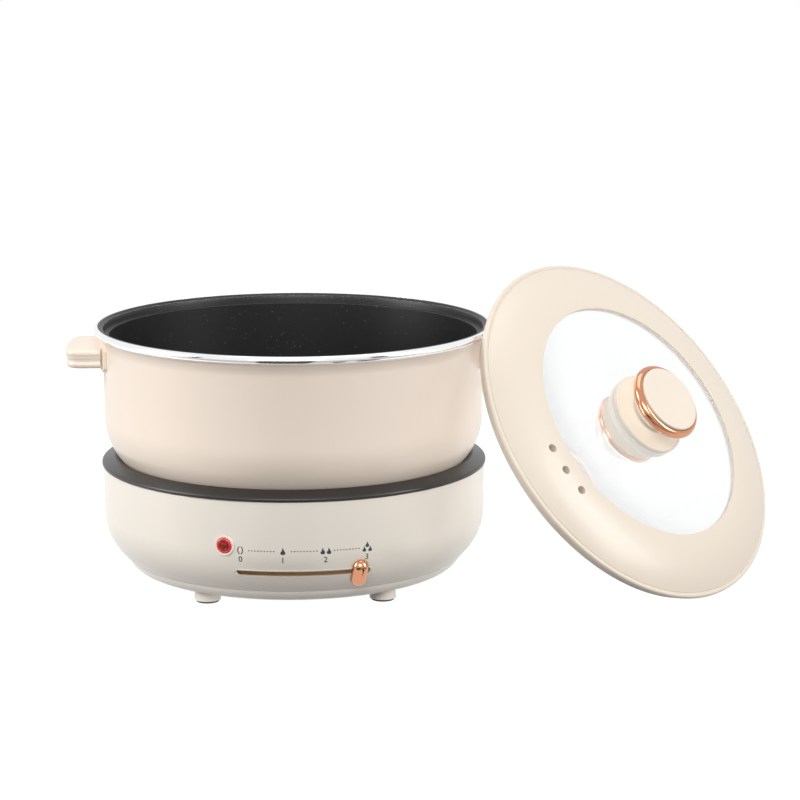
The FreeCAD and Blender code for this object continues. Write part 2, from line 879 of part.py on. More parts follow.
def slider_knob():
    """Upright capsule that follows the shell's slope, drawn along +X and turned to the front."""
    lean = shell_lean(slot_z)
    half = slider_knob_w / 2
    straight = slider_knob_h - slider_knob_w
    d = slider_knob_d
    body = Part.makeBox(d, slider_knob_w, straight, V(0, -half, -straight / 2))
    ends = [cyl(half, d, V(0, 0, side * straight / 2), V(1, 0, 0)) for side in (-1, 1)]
    body = join([body] + ends)
    body = round_edges(body, slider_knob_edge, lambda e: e.BoundBox.XMin > d - 0.01)
    body.rotate(V(), V(0, 1, 0), lean)
    normal = V(math.cos(math.radians(lean)), 0, -math.sin(math.radians(lean)))
    body.translate(V(shell_surface_r(slot_z), 0, slot_z) + normal * 0.6)
    body = body.cut(stem(slip_gap))
    return turned(body, slider_rest_deg - 90)


def slider_carriage():
    """Block behind the strip, with the stem that carries the knob."""
    r1 = strip_r() - strip_t - slip_gap
    block = tube(r1, 6, strip_h - 1, V(0, 0, slot_z - (strip_h - 1) / 2))
    block = block.common(box(0, shell_r, -carriage_w / 2, carriage_w / 2, 0, shell_top_z))
    arm_room = box(0, r1 - 1.5, -slider_arm_w / 2 - slip_gap, slider_arm_w / 2 + slip_gap,
                   slot_z - slider_arm_t / 2 - slip_gap, slot_z + slider_arm_t / 2 + slip_gap)
    body = join([block.cut(arm_room), stem(0)])
    return turned(body, slider_rest_deg - 90)


def slot_strip():
    """Brown strip behind the slot, long enough to cover it at both ends of the travel."""
    first = slot_mid_deg - slot_half_deg - strip_margin_deg
    last = slot_mid_deg + slot_half_deg + strip_margin_deg + slider_travel
    ring = tube(strip_r(), strip_t, strip_h, V(0, 0, slot_z - strip_h / 2))
    wedge = Part.makeCylinder(shell_r, strip_h, V(0, 0, slot_z - strip_h / 2), UP, last - first)
    strip = ring.common(turned(wedge, first - 90))
    return strip.cut(turned(stem(slip_gap), slider_rest_deg - 90))


def slider_arm():
    """Flat arm from the shaft at the centre to the carriage."""
    z = slot_z - slider_arm_t / 2
    half = slider_arm_w / 2
    bar = box(0, strip_r() - strip_t - slip_gap - 1.5 - slip_gap, -half, half, z, z + slider_arm_t)
    arm = join([bar, cyl(hub_r, slider_arm_t + 3, V(0, 0, z - 3))])
    arm = arm.cut(cyl(shaft_r + slip_gap, 20, V(0, 0, z - 6)))
    return turned(arm, slider_rest_deg - 90)


def selector_shaft():
    """Pivot of the slider's arm, which also turns the switch."""
    z0 = cover_top + switch_floor + seat_gap
    z1 = slot_z + slider_arm_t / 2 + 3
    shaft = cyl(shaft_r, z1 - z0, V(0, 0, z0))
    return shaft.fuse(cyl(shaft_r + 2.0, 1.4, V(0, 0, z1 - 2.0 + 1.0))).removeSplitter()


def selector_switch():
    """Round switch at the centre of the cover, with tabs for its leads."""
    z0 = cover_top + seat_gap
    body = cyl(switch_r, switch_h, V(0, 0, z0))
    body = round_edges(body, 1.2, lambda e: e.BoundBox.ZMin > z0 + switch_h - 0.1)
    body = body.cut(cyl(shaft_r + running_gap, switch_h, V(0, 0, cover_top + switch_floor)))
    tab = box(-0.4, 0.4, switch_r - 3, switch_r + tab_reach, z0 + tab_h - 1, z0 + 2 * tab_h - 1)
    return join([body] + [turned(tab, deg) for deg in switch_tab_degs])


def lamp_bezel():
    """Pale holder of the lamp, a tube through the shell."""
    r1 = lamp_r + lamp_rim
    x1 = shell_r + lamp_proud * 0.5
    body = tube(r1, lamp_rim - slip_gap, lamp_depth, V(x1 - lamp_depth, 0, lamp_z), V(1, 0, 0))
    back = cyl(r1, 1.5, V(x1 - lamp_depth - 1.5, 0, lamp_z), V(1, 0, 0))
    back = back.cut(cyl(bulb_r + slip_gap, 4, V(x1 - lamp_depth - 3, 0, lamp_z), V(1, 0, 0)))
    return turned(join([body, back]), lamp_deg - 90)


def lamp_lens():
    """Red lens with a raised ring."""
    x1 = shell_r + lamp_proud
    lens = cyl(lamp_r, lamp_lens_t, V(x1 - lamp_lens_t, 0, lamp_z), V(1, 0, 0))
    lens = round_edges(lens, 0.9, lambda e: e.BoundBox.XMin > x1 - 0.01)
    groove = tube(lamp_r * 0.62, 0.6, 1, V(x1 - 0.35, 0, lamp_z), V(1, 0, 0))
    return turned(lens.cut(groove), lamp_deg - 90)


def lamp_bulb():
    """Small tube lamp behind the lens."""
    x1 = shell_r + lamp_proud - lamp_lens_t - slip_gap
    bulb = cyl(bulb_r, bulb_l, V(x1 - bulb_l, 0, lamp_z), V(1, 0, 0))
    bulb = round_edges(bulb, 1.2, lambda e: e.BoundBox.XMin > x1 - 0.01)
    return turned(bulb, lamp_deg - 90)


# Power inlet

def power_inlet():
    """Appliance inlet: a flange, a housing and an open socket."""
    y = inlet_face_y()
    w = inlet_flange_w / 2
    h = inlet_flange_h / 2
    flange = box(-w, w, y - inlet_flange_t, y, inlet_z - h, inlet_z + h)
    flange = round_edges(flange, 3.0, lambda e: e.BoundBox.YLength > inlet_flange_t - 0.01
                         and e.BoundBox.XLength < 0.01 and e.BoundBox.ZLength < 0.01)
    body = inlet_outline(inlet_w, inlet_h, inlet_chamfer, y - inlet_depth, y)
    body = join([flange, body])
    room = 2 * inlet_wall
    body = body.cut(inlet_outline(inlet_w - room, inlet_h - room, inlet_chamfer, y - inlet_socket, y + 1))
    for side in (-1, 1):
        body = body.cut(cyl(screw_r, 20, V(side * inlet_screw_x, y + 2, inlet_z), V(0, -1, 0)))
    return cut_all(body, inlet_pin_set(slip_gap, y - inlet_depth - 1))


def inlet_pin_set(gap, y0):
    pins = []
    y1 = inlet_face_y() - inlet_socket + pin_l - 3
    for i in (-1, 0, 1):
        x = i * pin_pitch
        z = inlet_z + (pin_rise / 2 if i == 0 else -pin_rise / 2)
        w = pin_w / 2 + gap
        h = pin_h / 2 + gap
        pins.append(box(x - w, x + w, y0, y1, z - h, z + h))
    return pins


def inlet_pins():
    return inlet_pin_set(0, inlet_face_y() - inlet_depth - 5)


def inlet_screws():
    y = inlet_face_y() + seat_gap
    inward = V(0, -1, 0)
    head_r = screw_head_r * 0.9
    return [screw(V(side * inlet_screw_x, y, inlet_z), inward, inlet_screw_l, screw_r - 0.4, head_r, 1.4)
            for side in (-1, 1)]


# Small parts in the base

def terminal_block():
    z0 = cover_top + seat_gap
    body = box(block_x - block_w / 2, block_x + block_w / 2, block_y - block_l / 2, block_y + block_l / 2,
               z0, z0 + block_h)
    holes = []
    for i in (-1, 0, 1):
        y = block_y + i * block_l / 3.2
        holes.append(cyl(2.4, 6, V(block_x - 2.8, y, z0 + block_h - 6)))
    return cut_all(body, holes)


def thermostat():
    """Snap disc thermostat under the plate."""
    at = V(thermostat_at, 0, plate_z0 - seat_gap - thermostat_h)
    body = cyl(thermostat_r, thermostat_h, at)
    ear = box(-3, 3, -thermostat_r - 4, thermostat_r + 4, 0, 1)
    ear.translate(at + UP * (thermostat_h - 1))
    return turned(join([body, ear]), 210)


def thermal_fuse():
    """Small fuse in a strap under the plate."""
    z1 = plate_z0 - seat_gap
    y = thermostat_at
    fuse = cyl(fuse_r, fuse_l, V(-fuse_l / 2, y, z1 - fuse_r), V(1, 0, 0))
    strap = box(-3, 3, y - fuse_r - 4, y + fuse_r + 4, z1 - 2 * fuse_r - fuse_bracket_t, z1)
    hollow = box(-4, 4, y - fuse_r - 3, y + fuse_r + 3, z1 - 2 * fuse_r, z1 + 1)
    return join([fuse, strap.cut(hollow)])


def lead_wires():
    """Insulated leads between the inlet, the block, the switch and the element."""
    back = inlet_face_y() - inlet_depth - lead_tail
    low_z = inlet_z - pin_rise / 2
    block_top = cover_top + seat_gap + block_h
    tab_top = cover_top + 2 * seat_gap + 2 * tab_h - 1 + wire_r
    high = reflector_z - lead_room
    low = high - lead_drop / 2
    leg_z = element_z() - element_leg
    leg = [polar(element_ring_r, 90 + side * element_open_deg / 2, leg_z) for side in (-1, 1)]
    entry = V(block_x + block_w / 4, block_y, block_top)
    drop = UP * lead_drop
    touch = UP * seat_gap
    tab_r = switch_r + tab_reach * 0.7
    tabs = [polar(tab_r, 90 - deg, tab_top) for deg in switch_tab_degs[2:]]
    ways = [V(side * pin_pitch, back, low_z) for side in (-1, 1)]
    step = V(0, -lead_drop, 0)
    routes = [
        [ways[0] - V(0, seat_gap, 0), ways[0] + step, polar(reflector_r + lead_tail, 110, high),
         polar(reflector_r, 128, high), entry + V(0, block_l / 4, lead_drop + 2),
         entry + V(0, block_l / 4, seat_gap)],
        [ways[1] - V(0, seat_gap, 0), ways[1] + step, polar(plate_r + lead_tail, 74, high),
         polar(spacer_circle_r, 62, low), tabs[1] + V(2, lead_drop, lead_tail), tabs[1]],
        [entry + V(0, -block_l / 4, seat_gap), entry + V(0, -block_l / 4, lead_drop),
         polar(spacer_circle_r - lead_tail, 133, high), leg[1] - drop, leg[1] - touch],
        [tabs[0], tabs[0] + V(0, lead_tail, 2), leg[0] - drop, leg[0] - touch],
    ]
    return [pipe(route, wire_r) for route in routes]


# Lid, drawn in its own frame

def dome_r():
    return (glass_window_r ** 2 + glass_crown ** 2) / (2 * glass_crown)


def glass_top(r):
    """Height of the glass's upper face."""
    big = dome_r()
    return glass_rise - ring_over_glass + glass_crown - (big - math.sqrt(big * big - r * r))


def ring_arc():
    """Centre of the lid ring's convex upper face."""
    p = V(lid_r - lid_groove, 0, lid_flange_t)
    q = V(glass_window_r, 0, glass_rise)
    chord = q - p
    rise = math.sqrt(lid_ring_crown_r ** 2 - (chord.Length / 2) ** 2)
    side = V(-chord.z, 0, chord.x) / chord.Length
    return (p + q) / 2 + side * rise


def ring_under(r):
    """Height of the lid ring's lower face."""
    c = ring_arc()
    inner = lid_ring_crown_r - lid_ring_t
    return c.z + math.sqrt(inner ** 2 - (r - c.x) ** 2)


def lid_ring():
    """Ring round the glass: a flange, a locating lip, a convex face and a step that holds the glass."""
    lip_in = lid_lip_r - lid_lip_t
    hold_r = glass_window_r + glass_grip
    skirt_r = hold_r + lid_skirt_t
    z_hold = glass_top(hold_r) - glass_t - gasket_t - clamp_t - 3 * seat_gap
    profile = [
        (lip_in, -lid_lip_h),
        (lid_lip_r, -lid_lip_h),
        (lid_lip_r, 0),
        (lid_r, 0),
        (lid_r, lid_flange_t - lid_edge_r),
        (lid_r - lid_edge_r, lid_flange_t, -lid_edge_r),
        (lid_r - lid_groove + 0.9, lid_flange_t),
        (lid_r - lid_groove + 0.6, lid_flange_t - 0.5),
        (lid_r - lid_groove + 0.2, lid_flange_t - 0.5),
        (lid_r - lid_groove, lid_flange_t),
        (glass_window_r, glass_rise, -lid_ring_crown_r),
        (glass_window_r, glass_top(glass_window_r) + seat_gap),
        (hold_r, glass_top(hold_r) + seat_gap),
        (hold_r, z_hold),
        (skirt_r, z_hold),
        (skirt_r, ring_under(skirt_r)),
        (lip_in, ring_under(lip_in), lid_ring_crown_r - lid_ring_t),
    ]
    ring = turn(profile)
    for i in range(steam_count):
        deg = steam_deg + (i - (steam_count - 1) / 2) * steam_pitch_deg
        ring = ring.cut(cyl(steam_r, 30, polar(steam_at_r, deg)))
    return ring


def lid_glass():
    big = dome_r()
    r1 = glass_window_r + glass_grip - fit_gap
    hole = knob_screw_r + 0.7
    t = glass_t
    profile = [
        (hole, glass_top(hole) - t),
        (r1, glass_top(r1) - t, big - t),
        (r1, glass_top(r1)),
        (hole, glass_top(hole), -big),
    ]
    return turn(profile)


def under_glass_band(drop, t, r0, r1):
    """A thin ring that follows the glass's lower face."""
    z0 = glass_top(r0) - glass_t - drop
    z1 = glass_top(r1) - glass_t - drop
    return turn([(r0, z0 - t), (r1, z1 - t), (r1, z1), (r0, z0)])


def glass_gasket():
    r1 = glass_window_r + glass_grip - fit_gap
    return under_glass_band(seat_gap, gasket_t, glass_window_r + 0.6, r1)


def clamp_ring():
    r1 = glass_window_r + glass_grip - slip_gap
    return under_glass_band(2 * seat_gap + gasket_t, clamp_t, glass_window_r + 0.2, r1)


def knob_seat_z():
    return glass_top(0) + seat_gap


def knob_base():
    """Flange, stepped stem and flared head of the knob."""
    z = knob_seat_z()
    bore = knob_screw_r + slip_gap
    top = z + knob_h - knob_cap_h - knob_ring_h
    fall = glass_top(0) - glass_top(knob_flange_r)
    stem_z = z + knob_flange_t + knob_step_h + 3
    profile = [
        (0, z + knob_bore_h),
        (bore, z + knob_bore_h),
        (bore, z),
        (knob_flange_r, z - fall),
        (knob_flange_r, z - fall + knob_flange_t - 1.2),
        (knob_flange_r - 1.2, z - fall + knob_flange_t, -1.2),
        (knob_step_r, z + knob_flange_t + 2, 0),
        (knob_step_r, stem_z),
        (knob_stem_r, stem_z),
        (knob_stem_r, stem_z + 4),
        (knob_ring_r - 1.2, top - 0.8, knob_flare_r),
        (knob_ring_r - 1.2, top),
        (0, top),
    ]
    return turn(profile)


def knob_ring():
    """Bright ring round the cap."""
    z = knob_seat_z() + knob_h - knob_cap_h - knob_ring_h + seat_gap
    r0 = knob_cap_r + slip_gap
    h = knob_ring_h + knob_cap_h * 0.45
    edge = 1.2
    return turn([(r0, z), (knob_ring_r - edge, z), (knob_ring_r, z + edge, -edge), (knob_ring_r, z + h - edge),
                 (knob_ring_r - edge, z + h, -edge), (r0 + 0.4, z + h), (r0, z + h - 0.4)])


def knob_cap():
    """Slightly dished cap."""
    z0 = knob_seat_z() + knob_h - knob_cap_h - knob_ring_h + seat_gap
    z1 = knob_seat_z() + knob_h
    edge = 1.0
    return turn([(0, z0), (knob_cap_r, z0), (knob_cap_r, z1 - edge), (knob_cap_r - edge, z1, -edge),
                 (knob_cap_r - 2.4, z1), (0, z1 - knob_dish, knob_dish_r())])


def knob_dish_r():
    r = knob_cap_r - 2.4
    return (r * r + knob_dish * knob_dish) / (2 * knob_dish)


def knob_washer():
    z1 = glass_top(0) - glass_t - seat_gap
    return tube(washer_r, washer_r - knob_screw_r - slip_gap, washer_t, V(0, 0, z1 - washer_t))


def knob_screw():
    z = glass_top(0) - glass_t - 2 * seat_gap - washer_t
    length = knob_seat_z() + knob_bore_h - 1 - z
    return screw(V(0, 0, z), UP, length, knob_screw_r, knob_screw_head_r, knob_screw_head_t)


# Where the lid leans

def lean_axes():
    """The lid's own X up the slope, Y across it and Z out of its upper face."""
    az = math.radians(lean_azimuth)
    tip = math.radians(lean_tilt)
    out = V(math.cos(tip) * math.cos(az), math.cos(tip) * math.sin(az), math.sin(tip))
    rise = V(-math.sin(tip) * math.cos(az), -math.sin(tip) * math.sin(az), math.cos(tip))
    return rise, out.cross(rise), out


def lean_placement(reach):
    """The lid standing on the table, its lowest point at a distance from the pot's axis."""
    x, y, z = lean_axes()
    low_edge = lid_r * x.z
    low_lip = lid_lip_r * x.z + lid_lip_h * z.z
    foot = polar(reach, lean_foot_azimuth, floor_gap)
    centre = foot + x * lid_r
    centre.z = floor_gap + max(low_edge, low_lip)
    return FreeCAD.Placement(centre, FreeCAD.Rotation(x, y, z, "ZXY"))


def box_gap(inside_by):
    """Distance to a box, from how far a point lies outside each pair of its sides."""
    outside = [max(v, 0) for v in inside_by]
    return math.sqrt(sum(v * v for v in outside)) or max(inside_by)


def gap_to_pot(point):
    """Clearance of a point outside the pot from its rim ring, lip, wall and right handle."""
    r = math.hypot(point.x, point.y)
    z = point.z
    bead = rim_band / 2
    gaps = [
        math.hypot(r - rim_r + bead, z - rim_z + bead) - bead,
        box_gap([r - lip_r, lip_z - lip_height - z, z - lip_z]),
        box_gap([r - pot_wall_r, z - lip_z]),
    ]
    if point.x > 0:
        gaps.append(box_gap([r - handle_end_r, abs(point.y) - handle_half, handle_z0 - z, z - handle_z1]))
    return min(gaps)


def lid_edge_points(place):
    """Points round the lid's lip and flange, where it can touch the pot."""
    rings = [(lid_lip_r, -lid_lip_h), (lid_lip_r - lid_lip_t, -lid_lip_h), (lid_r, 0), (lid_r, lid_flange_t)]
    return [place.multVec(polar(r, deg, z)) for r, z in rings for deg in range(0, 360, 2)]


def lean_on_pot():
    """Slide the lid in over the table until it all but touches the pot."""
    near, far = rim_r, rim_r + 2.5 * lid_r
    while far - near > 0.01:
        middle = (near + far) / 2
        if min(gap_to_pot(p) for p in lid_edge_points(lean_placement(middle))) < lean_gap:
            near = middle
        else:
            far = middle
    return lean_placement(far)


def leaned(shape, placement):
    copy = shape.copy()
    copy.Placement = placement
    return copy


def build():
    os.makedirs("parts", exist_ok=True)
    body = pot_body()
    ring = rim_ring()
    right = handle()
    lug = handle_lug()
    side_screw = handle_screw()
    save("pot_body", body)
    save("rim_ring", ring)
    save("pot_base_disc", pot_base_disc())
    for name, deg in (("right", 0), ("left", 180)):
        save("handle_" + name, turned(right, deg))
        save("handle_lug_" + name, turned(lug, deg))
    save("handle_screws", side_screw, turned(side_screw, 180))

    save("base_shell", base_shell())
    save("collar_ring", collar_ring())
    save("collar_trim", collar_trim())
    save("well_pan", well_pan())
    save("heating_plate", heating_plate())
    save("heating_element", heating_element())
    save("plate_spacers", *plate_spacers())
    save("plate_screws", *plate_screws())
    save("reflector", reflector())
    save("reflector_screws", *reflector_screws())
    save("sensor_cap", sensor_cap())
    save("sensor_holder", sensor_holder())
    save("sensor_spring", sensor_spring())
    save("bottom_cover", bottom_cover())
    for i, pad in enumerate(foot_pads()):
        save("foot_pad_" + str(i + 1), pad)
    save("cover_screws", *cover_screws())

    save("slider_knob", slider_knob())
    save("slider_carriage", slider_carriage())
    save("slot_strip", slot_strip())
    save("slider_arm", slider_arm())
    save("selector_shaft", selector_shaft())
    save("selector_switch", selector_switch())
    save("lamp_bezel", lamp_bezel())
    save("lamp_lens", lamp_lens())
    save("lamp_bulb", lamp_bulb())
    save("power_inlet", power_inlet())
    save("inlet_pins", *inlet_pins())
    save("inlet_screws", *inlet_screws())
    save("terminal_block", terminal_block())
    save("thermostat", thermostat())
    save("thermal_fuse", thermal_fuse())
    save("lead_wires", *lead_wires())

    lid_pieces = {
        "lid_ring": lid_ring(),
        "lid_glass": lid_glass(),
        "glass_gasket": glass_gasket(),
        "clamp_ring": clamp_ring(),
        "knob_base": knob_base(),
        "knob_ring": knob_ring(),
        "knob_cap": knob_cap(),
        "knob_washer": knob_washer(),
        "knob_screw": knob_screw(),
    }
    place = lean_on_pot()
    for name, piece in lid_pieces.items():
        save(name, leaned(piece, place))
    print("lid centre", place.Base, "axis", lean_axes()[2])


build()
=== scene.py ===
"""Dresses an electric hot pot: heating base, pot and loose glass lid."""
import json
import math
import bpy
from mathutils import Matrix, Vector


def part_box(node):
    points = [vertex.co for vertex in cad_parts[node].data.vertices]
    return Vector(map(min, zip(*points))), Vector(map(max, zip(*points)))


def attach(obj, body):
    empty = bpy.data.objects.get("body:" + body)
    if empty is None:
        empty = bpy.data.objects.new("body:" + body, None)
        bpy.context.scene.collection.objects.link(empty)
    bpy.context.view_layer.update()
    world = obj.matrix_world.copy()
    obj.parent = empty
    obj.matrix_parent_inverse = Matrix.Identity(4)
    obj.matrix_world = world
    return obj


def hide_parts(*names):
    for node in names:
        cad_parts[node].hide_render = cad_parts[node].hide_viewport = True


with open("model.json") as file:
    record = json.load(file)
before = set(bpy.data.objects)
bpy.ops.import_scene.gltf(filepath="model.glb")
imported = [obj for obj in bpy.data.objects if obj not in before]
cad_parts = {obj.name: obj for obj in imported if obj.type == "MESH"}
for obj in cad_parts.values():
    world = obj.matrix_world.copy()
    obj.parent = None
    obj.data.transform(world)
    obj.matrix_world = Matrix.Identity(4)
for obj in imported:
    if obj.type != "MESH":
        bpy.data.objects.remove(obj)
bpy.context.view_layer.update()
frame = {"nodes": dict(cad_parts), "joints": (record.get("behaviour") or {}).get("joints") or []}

from types import SimpleNamespace

import bmesh
import bpy
from bpy.props import FloatProperty, FloatVectorProperty, IntProperty, PointerProperty
from mathutils import Matrix, Vector

bl_info = {
    "name": "Electric Hot Pot",
    "version": (1, 0, 0),
    "blender": (4, 5, 0),
    "location": "View3D > Sidebar > Hot Pot",
    "description": "Builds a split electric hot pot with a loose glass lid around its construction frame",
    "category": "Add Mesh",
}

# Values of the object, in millimetres and degrees

MM = 0.001
UP = Vector((0, 0, 1))
FRONT_DEG = -90.0
ARC_STEP_DEG = 6.0
SHARP_DEG = 25.0
INK_LIFT = 0.05
MARK_HEIGHT, NUMBER_HEIGHT, DOT_R, DOT_GAP_DEG = 5.0, 5.6, 0.47, 2.5
STEAM_R, STEAM_IN, STEAM_DEG, STEAM_STEP_DEG = 2.9, 12, 102.0, 9.7
WASHER_Z, GLASS_DROP = 15.0, 1.2
BEZEL_W, BEZEL_GAP = 1.6, 0.15
TURNED, RINGED = "turned on an axis", "parts round an axis"

# Values of the stage, in metres and degrees

WORLD_LEVEL = 0.40
FLOOR_TONE, FLOOR_GLOW = (0.17, 0.167, 0.163), 0.945
CAMERA_PLACE, CAMERA_DEG, CAMERA_LENS = (0.0031, -1.7907, 0.4768), (78.85, 0, -2.3), 116.04


def corners(node):
    """Lowest and highest corner of a node, in millimetres."""
    low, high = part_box(node)
    return Vector(low) / MM, Vector(high) / MM


def extent(node):
    """Half width, lowest and highest level of a round upright node."""
    low, high = corners(node)
    return (high.x - low.x) / 2, low.z, high.z


RIM_R, LIP_Z, RIM_Z = extent("rim_ring")
LIP_R, POT_BOTTOM_Z, _ = extent("pot_body")
SHELL_R, SEAM_Z, SHELL_TOP_Z = extent("base_shell")
COLLAR_R, COLLAR_FOOT_Z, COLLAR_TOP_Z = extent("collar_ring")
TRIM_R, TRIM_Z, _ = extent("collar_trim")
PAD_R, _, PAD_Z = extent("foot_pad_1")


def length(name, description, default):
    return FloatProperty(name=name, description=description, default=default * MM, unit="LENGTH",
                         precision=5)


def angle(name, description, default):
    return FloatProperty(name=name, description=description, default=math.radians(default),
                         unit="ROTATION")


def colour(name, description, default):
    return FloatVectorProperty(name=name, description=description, default=default, subtype="COLOR",
                               size=3, min=0, max=1)


class PotSizes(bpy.types.PropertyGroup):
    """Sizes of the pot and its handles."""
    wall_r: length("Wall radius", "Outer radius of the pot's straight wall", 133.2)
    wall_t: length("Wall thickness", "Thickness of the pot's wall and floor", 4.0)
    corner_r: length("Corner radius", "Outer radius of the rounded bottom corner", 48.0)
    lining_t: length("Lining thickness", "Thickness of the dark lining", 0.4)
    band_w: length("Rim band width", "How far in the bright band reaches over the rim", 2.5)
    ledge_drop: length("Ledge depth", "Depth of the lid's ledge under the rim", 6.4)
    ledge_w: length("Ledge width", "Width of the lid's ledge", 3.4)
    handle_half: length("Handle half width", "Half the width of a handle", 32.0)
    handle_corner: length("Handle corner", "Radius of a handle's plan corners", 9.0)


class BaseSizes(bpy.types.PropertyGroup):
    """Sizes of the base and its control panel."""
    bend_r: length("Bend radius", "Radius of the shell's lower curve", 40.8)
    bend_z: length("Bend level", "Level where the shell starts to curve in", 48.8)
    shell_t: length("Shell thickness", "Thickness of the shell", 2.6)
    slot_z: length("Slot level", "Level of the control slot", 31.8)
    slot_h: length("Slot height", "Height of the control slot", 4.0)
    slot_mid: angle("Slot middle", "Angle of the slot's middle from the front", 2.5)
    slot_half: angle("Slot half angle", "Half the angle of the control slot", 20.2)
    knob_deg: angle("Slider angle", "Angle of the sliding knob from the front", 19.0)
    mark_z: length("Mark level", "Level of the row of marks", 48.4)
    label_z: length("Number level", "Level of the row of numbers", 42.0)
    mark_step: angle("Mark step", "Angle from one mark to the next", 12.2)
    dots: IntProperty(name="Dots", description="Dots between two marks", default=9, min=2)
    lamp_z: length("Lamp level", "Level of the red lamp", 50.8)
    lamp_deg: angle("Lamp angle", "Angle of the lamp from the front", -20.4)
    lamp_r: length("Lamp radius", "Radius of the red lens", 5.3)


class LidSizes(bpy.types.PropertyGroup):
    """Sizes of the lid in its own frame, whose floor is the seat on the pot's ledge."""
    flange_r: length("Flange radius", "Outer radius of the lid", 131.0)
    lip_r: length("Lip radius", "Outer radius of the lip that drops into the pot", 128.4)
    window_r: length("Window radius", "Radius of the glass that shows", 89.0)
    window_z: length("Window level", "Level of the ring's inner edge", 14.6)
    crown: length("Crown", "Rise of the glass at its middle", 6.3)
    glass_t: length("Glass thickness", "Thickness of the glass", 4.0)
    ring_t: length("Ring thickness", "Thickness of the ring", 2.4)
    ring_bend: length("Ring bend", "Radius of the ring's rounded face", 80.0)
    knob_h: length("Knob height", "Height of the knob over the glass", 25.5)
    knob_r: length("Knob radius", "Radius of the knob's bright ring", 27.9)
    knob_foot_r: length("Knob foot radius", "Radius of the knob's foot", 30.0)
    cap_r: length("Cap radius", "Radius of the knob's cap", 24.0)


class Colours(bpy.types.PropertyGroup):
    """Colours of the finishes."""
    pot_cream: colour("Pot cream", "Enamel outside the pot", (0.81, 0.70, 0.60))
    base_cream: colour("Base cream", "Plastic of the base", (0.76, 0.705, 0.63))
    handle_cream: colour("Handle cream", "Plastic of the handles", (0.74, 0.64, 0.545))
    lid_cream: colour("Lid cream", "Plastic of the lid's ring", (0.68, 0.60, 0.505))
    knob_cream: colour("Knob cream", "Plastic of the knob", (0.72, 0.635, 0.535))
    lining_black: colour("Lining", "Dark lining of the pot", (0.0055, 0.0055, 0.006))
    collar_grey: colour("Collar", "Dark collar of the base", (0.017, 0.016, 0.015))
    strip_brown: colour("Strip", "Brown strip behind the slot", (0.34, 0.20, 0.085))
    rose_gold: colour("Rose gold", "Bright metal of the knobs", (0.62, 0.29, 0.17))
    lamp_red: colour("Lamp", "Red lens", (0.78, 0.008, 0.006))
    mark_grey: colour("Marks", "Printed marks", (0.045, 0.047, 0.055))


def given(name):
    """One group of the user's values, with its lengths in millimetres and its angles in degrees."""
    group = getattr(bpy.context.scene, "hot_pot_" + name)
    scales = {"LENGTH": 1 / MM, "ROTATION": math.degrees(1)}
    values = SimpleNamespace()
    for label in group.__annotations__:
        unit = getattr(group.bl_rna.properties[label], "unit", "NONE")
        value = getattr(group, label)
        setattr(values, label, value * scales[unit] if unit in scales else value)
    return values


# Outlines

def outline(points):
    """Points along an outline of (r, z) or (r, z, bend), where a positive bend bulges to the left."""
    path = []
    for i, point in enumerate(points):
        q = Vector(point[:2])
        bend = point[2] if len(point) > 2 else 0
        if bend:
            p = Vector(points[i - 1][:2])
            chord = q - p
            rise = math.sqrt(max(bend * bend - chord.length_squared / 4, 0))
            left = Vector((-chord.y, chord.x)).normalized()
            centre = (p + q) / 2 - left * math.copysign(rise, bend)
            start = math.atan2(p.y - centre.y, p.x - centre.x)
            sweep = math.atan2(q.y - centre.y, q.x - centre.x) - start
            sweep = (sweep + math.pi) % (2 * math.pi) - math.pi
            count = max(2, round(abs(math.degrees(sweep)) / ARC_STEP_DEG))
            for k in range(1, count):
                a = start + sweep * k / count
                path.append(centre + Vector((math.cos(a), math.sin(a))) * abs(bend))
        path.append(q)
    return path


def softened(path, radius, closed):
    """The path with its sharp corners rounded."""
    result = []
    for i, p in enumerate(path):
        back, ahead = path[i - 1] - p, path[(i + 1) % len(path)] - p
        on_end = not closed and i in (0, len(path) - 1)
        if on_end or min(back.length, ahead.length) < 1e-6:
            result.append(p)
            continue
        turn = math.pi - back.angle(ahead)
        if turn < math.radians(SHARP_DEG):
            result.append(p)
            continue
        reach = min(radius * math.tan(turn / 2), 0.4 * back.length, 0.4 * ahead.length)
        start, end = p + back.normalized() * reach, p + ahead.normalized() * reach
        for t in (0.0, 0.25, 0.5, 0.75, 1.0):
            result.append(start.lerp(p, t).lerp(p.lerp(end, t), t))
    return result


# Geometry Nodes

def new_tree(name, inputs):
    tree = bpy.data.node_groups.new(name, "GeometryNodeTree")
    tree.interface.new_socket("Geometry", in_out="INPUT", socket_type="NodeSocketGeometry")
    for label, kind in inputs:
        tree.interface.new_socket(label, in_out="INPUT", socket_type="NodeSocket" + kind)
    tree.interface.new_socket("Geometry", in_out="OUTPUT", socket_type="NodeSocketGeometry")
    return tree, tree.nodes.new("NodeGroupInput").outputs


def put(tree, kind, settings=None, **sockets):
    """Add a node, its settings first and then its sockets by name, or by number as i0."""
    node = tree.nodes.new(kind)
    for name, value in (settings or {}).items():
        setattr(node, name, value)
    for name, value in sockets.items():
        socket = node.inputs[int(name[1:])] if name[1:].isdigit() else node.inputs[name.replace("_", " ")]
        value = getattr(value, "socket", value)
        if isinstance(value, bpy.types.NodeSocket):
            tree.links.new(value, socket)
        else:
            socket.default_value = value
    return node.outputs


def maths(tree, operation, a, b=0.0):
    return put(tree, "ShaderNodeMath", {"operation": operation}, i0=a, i1=b)[0]


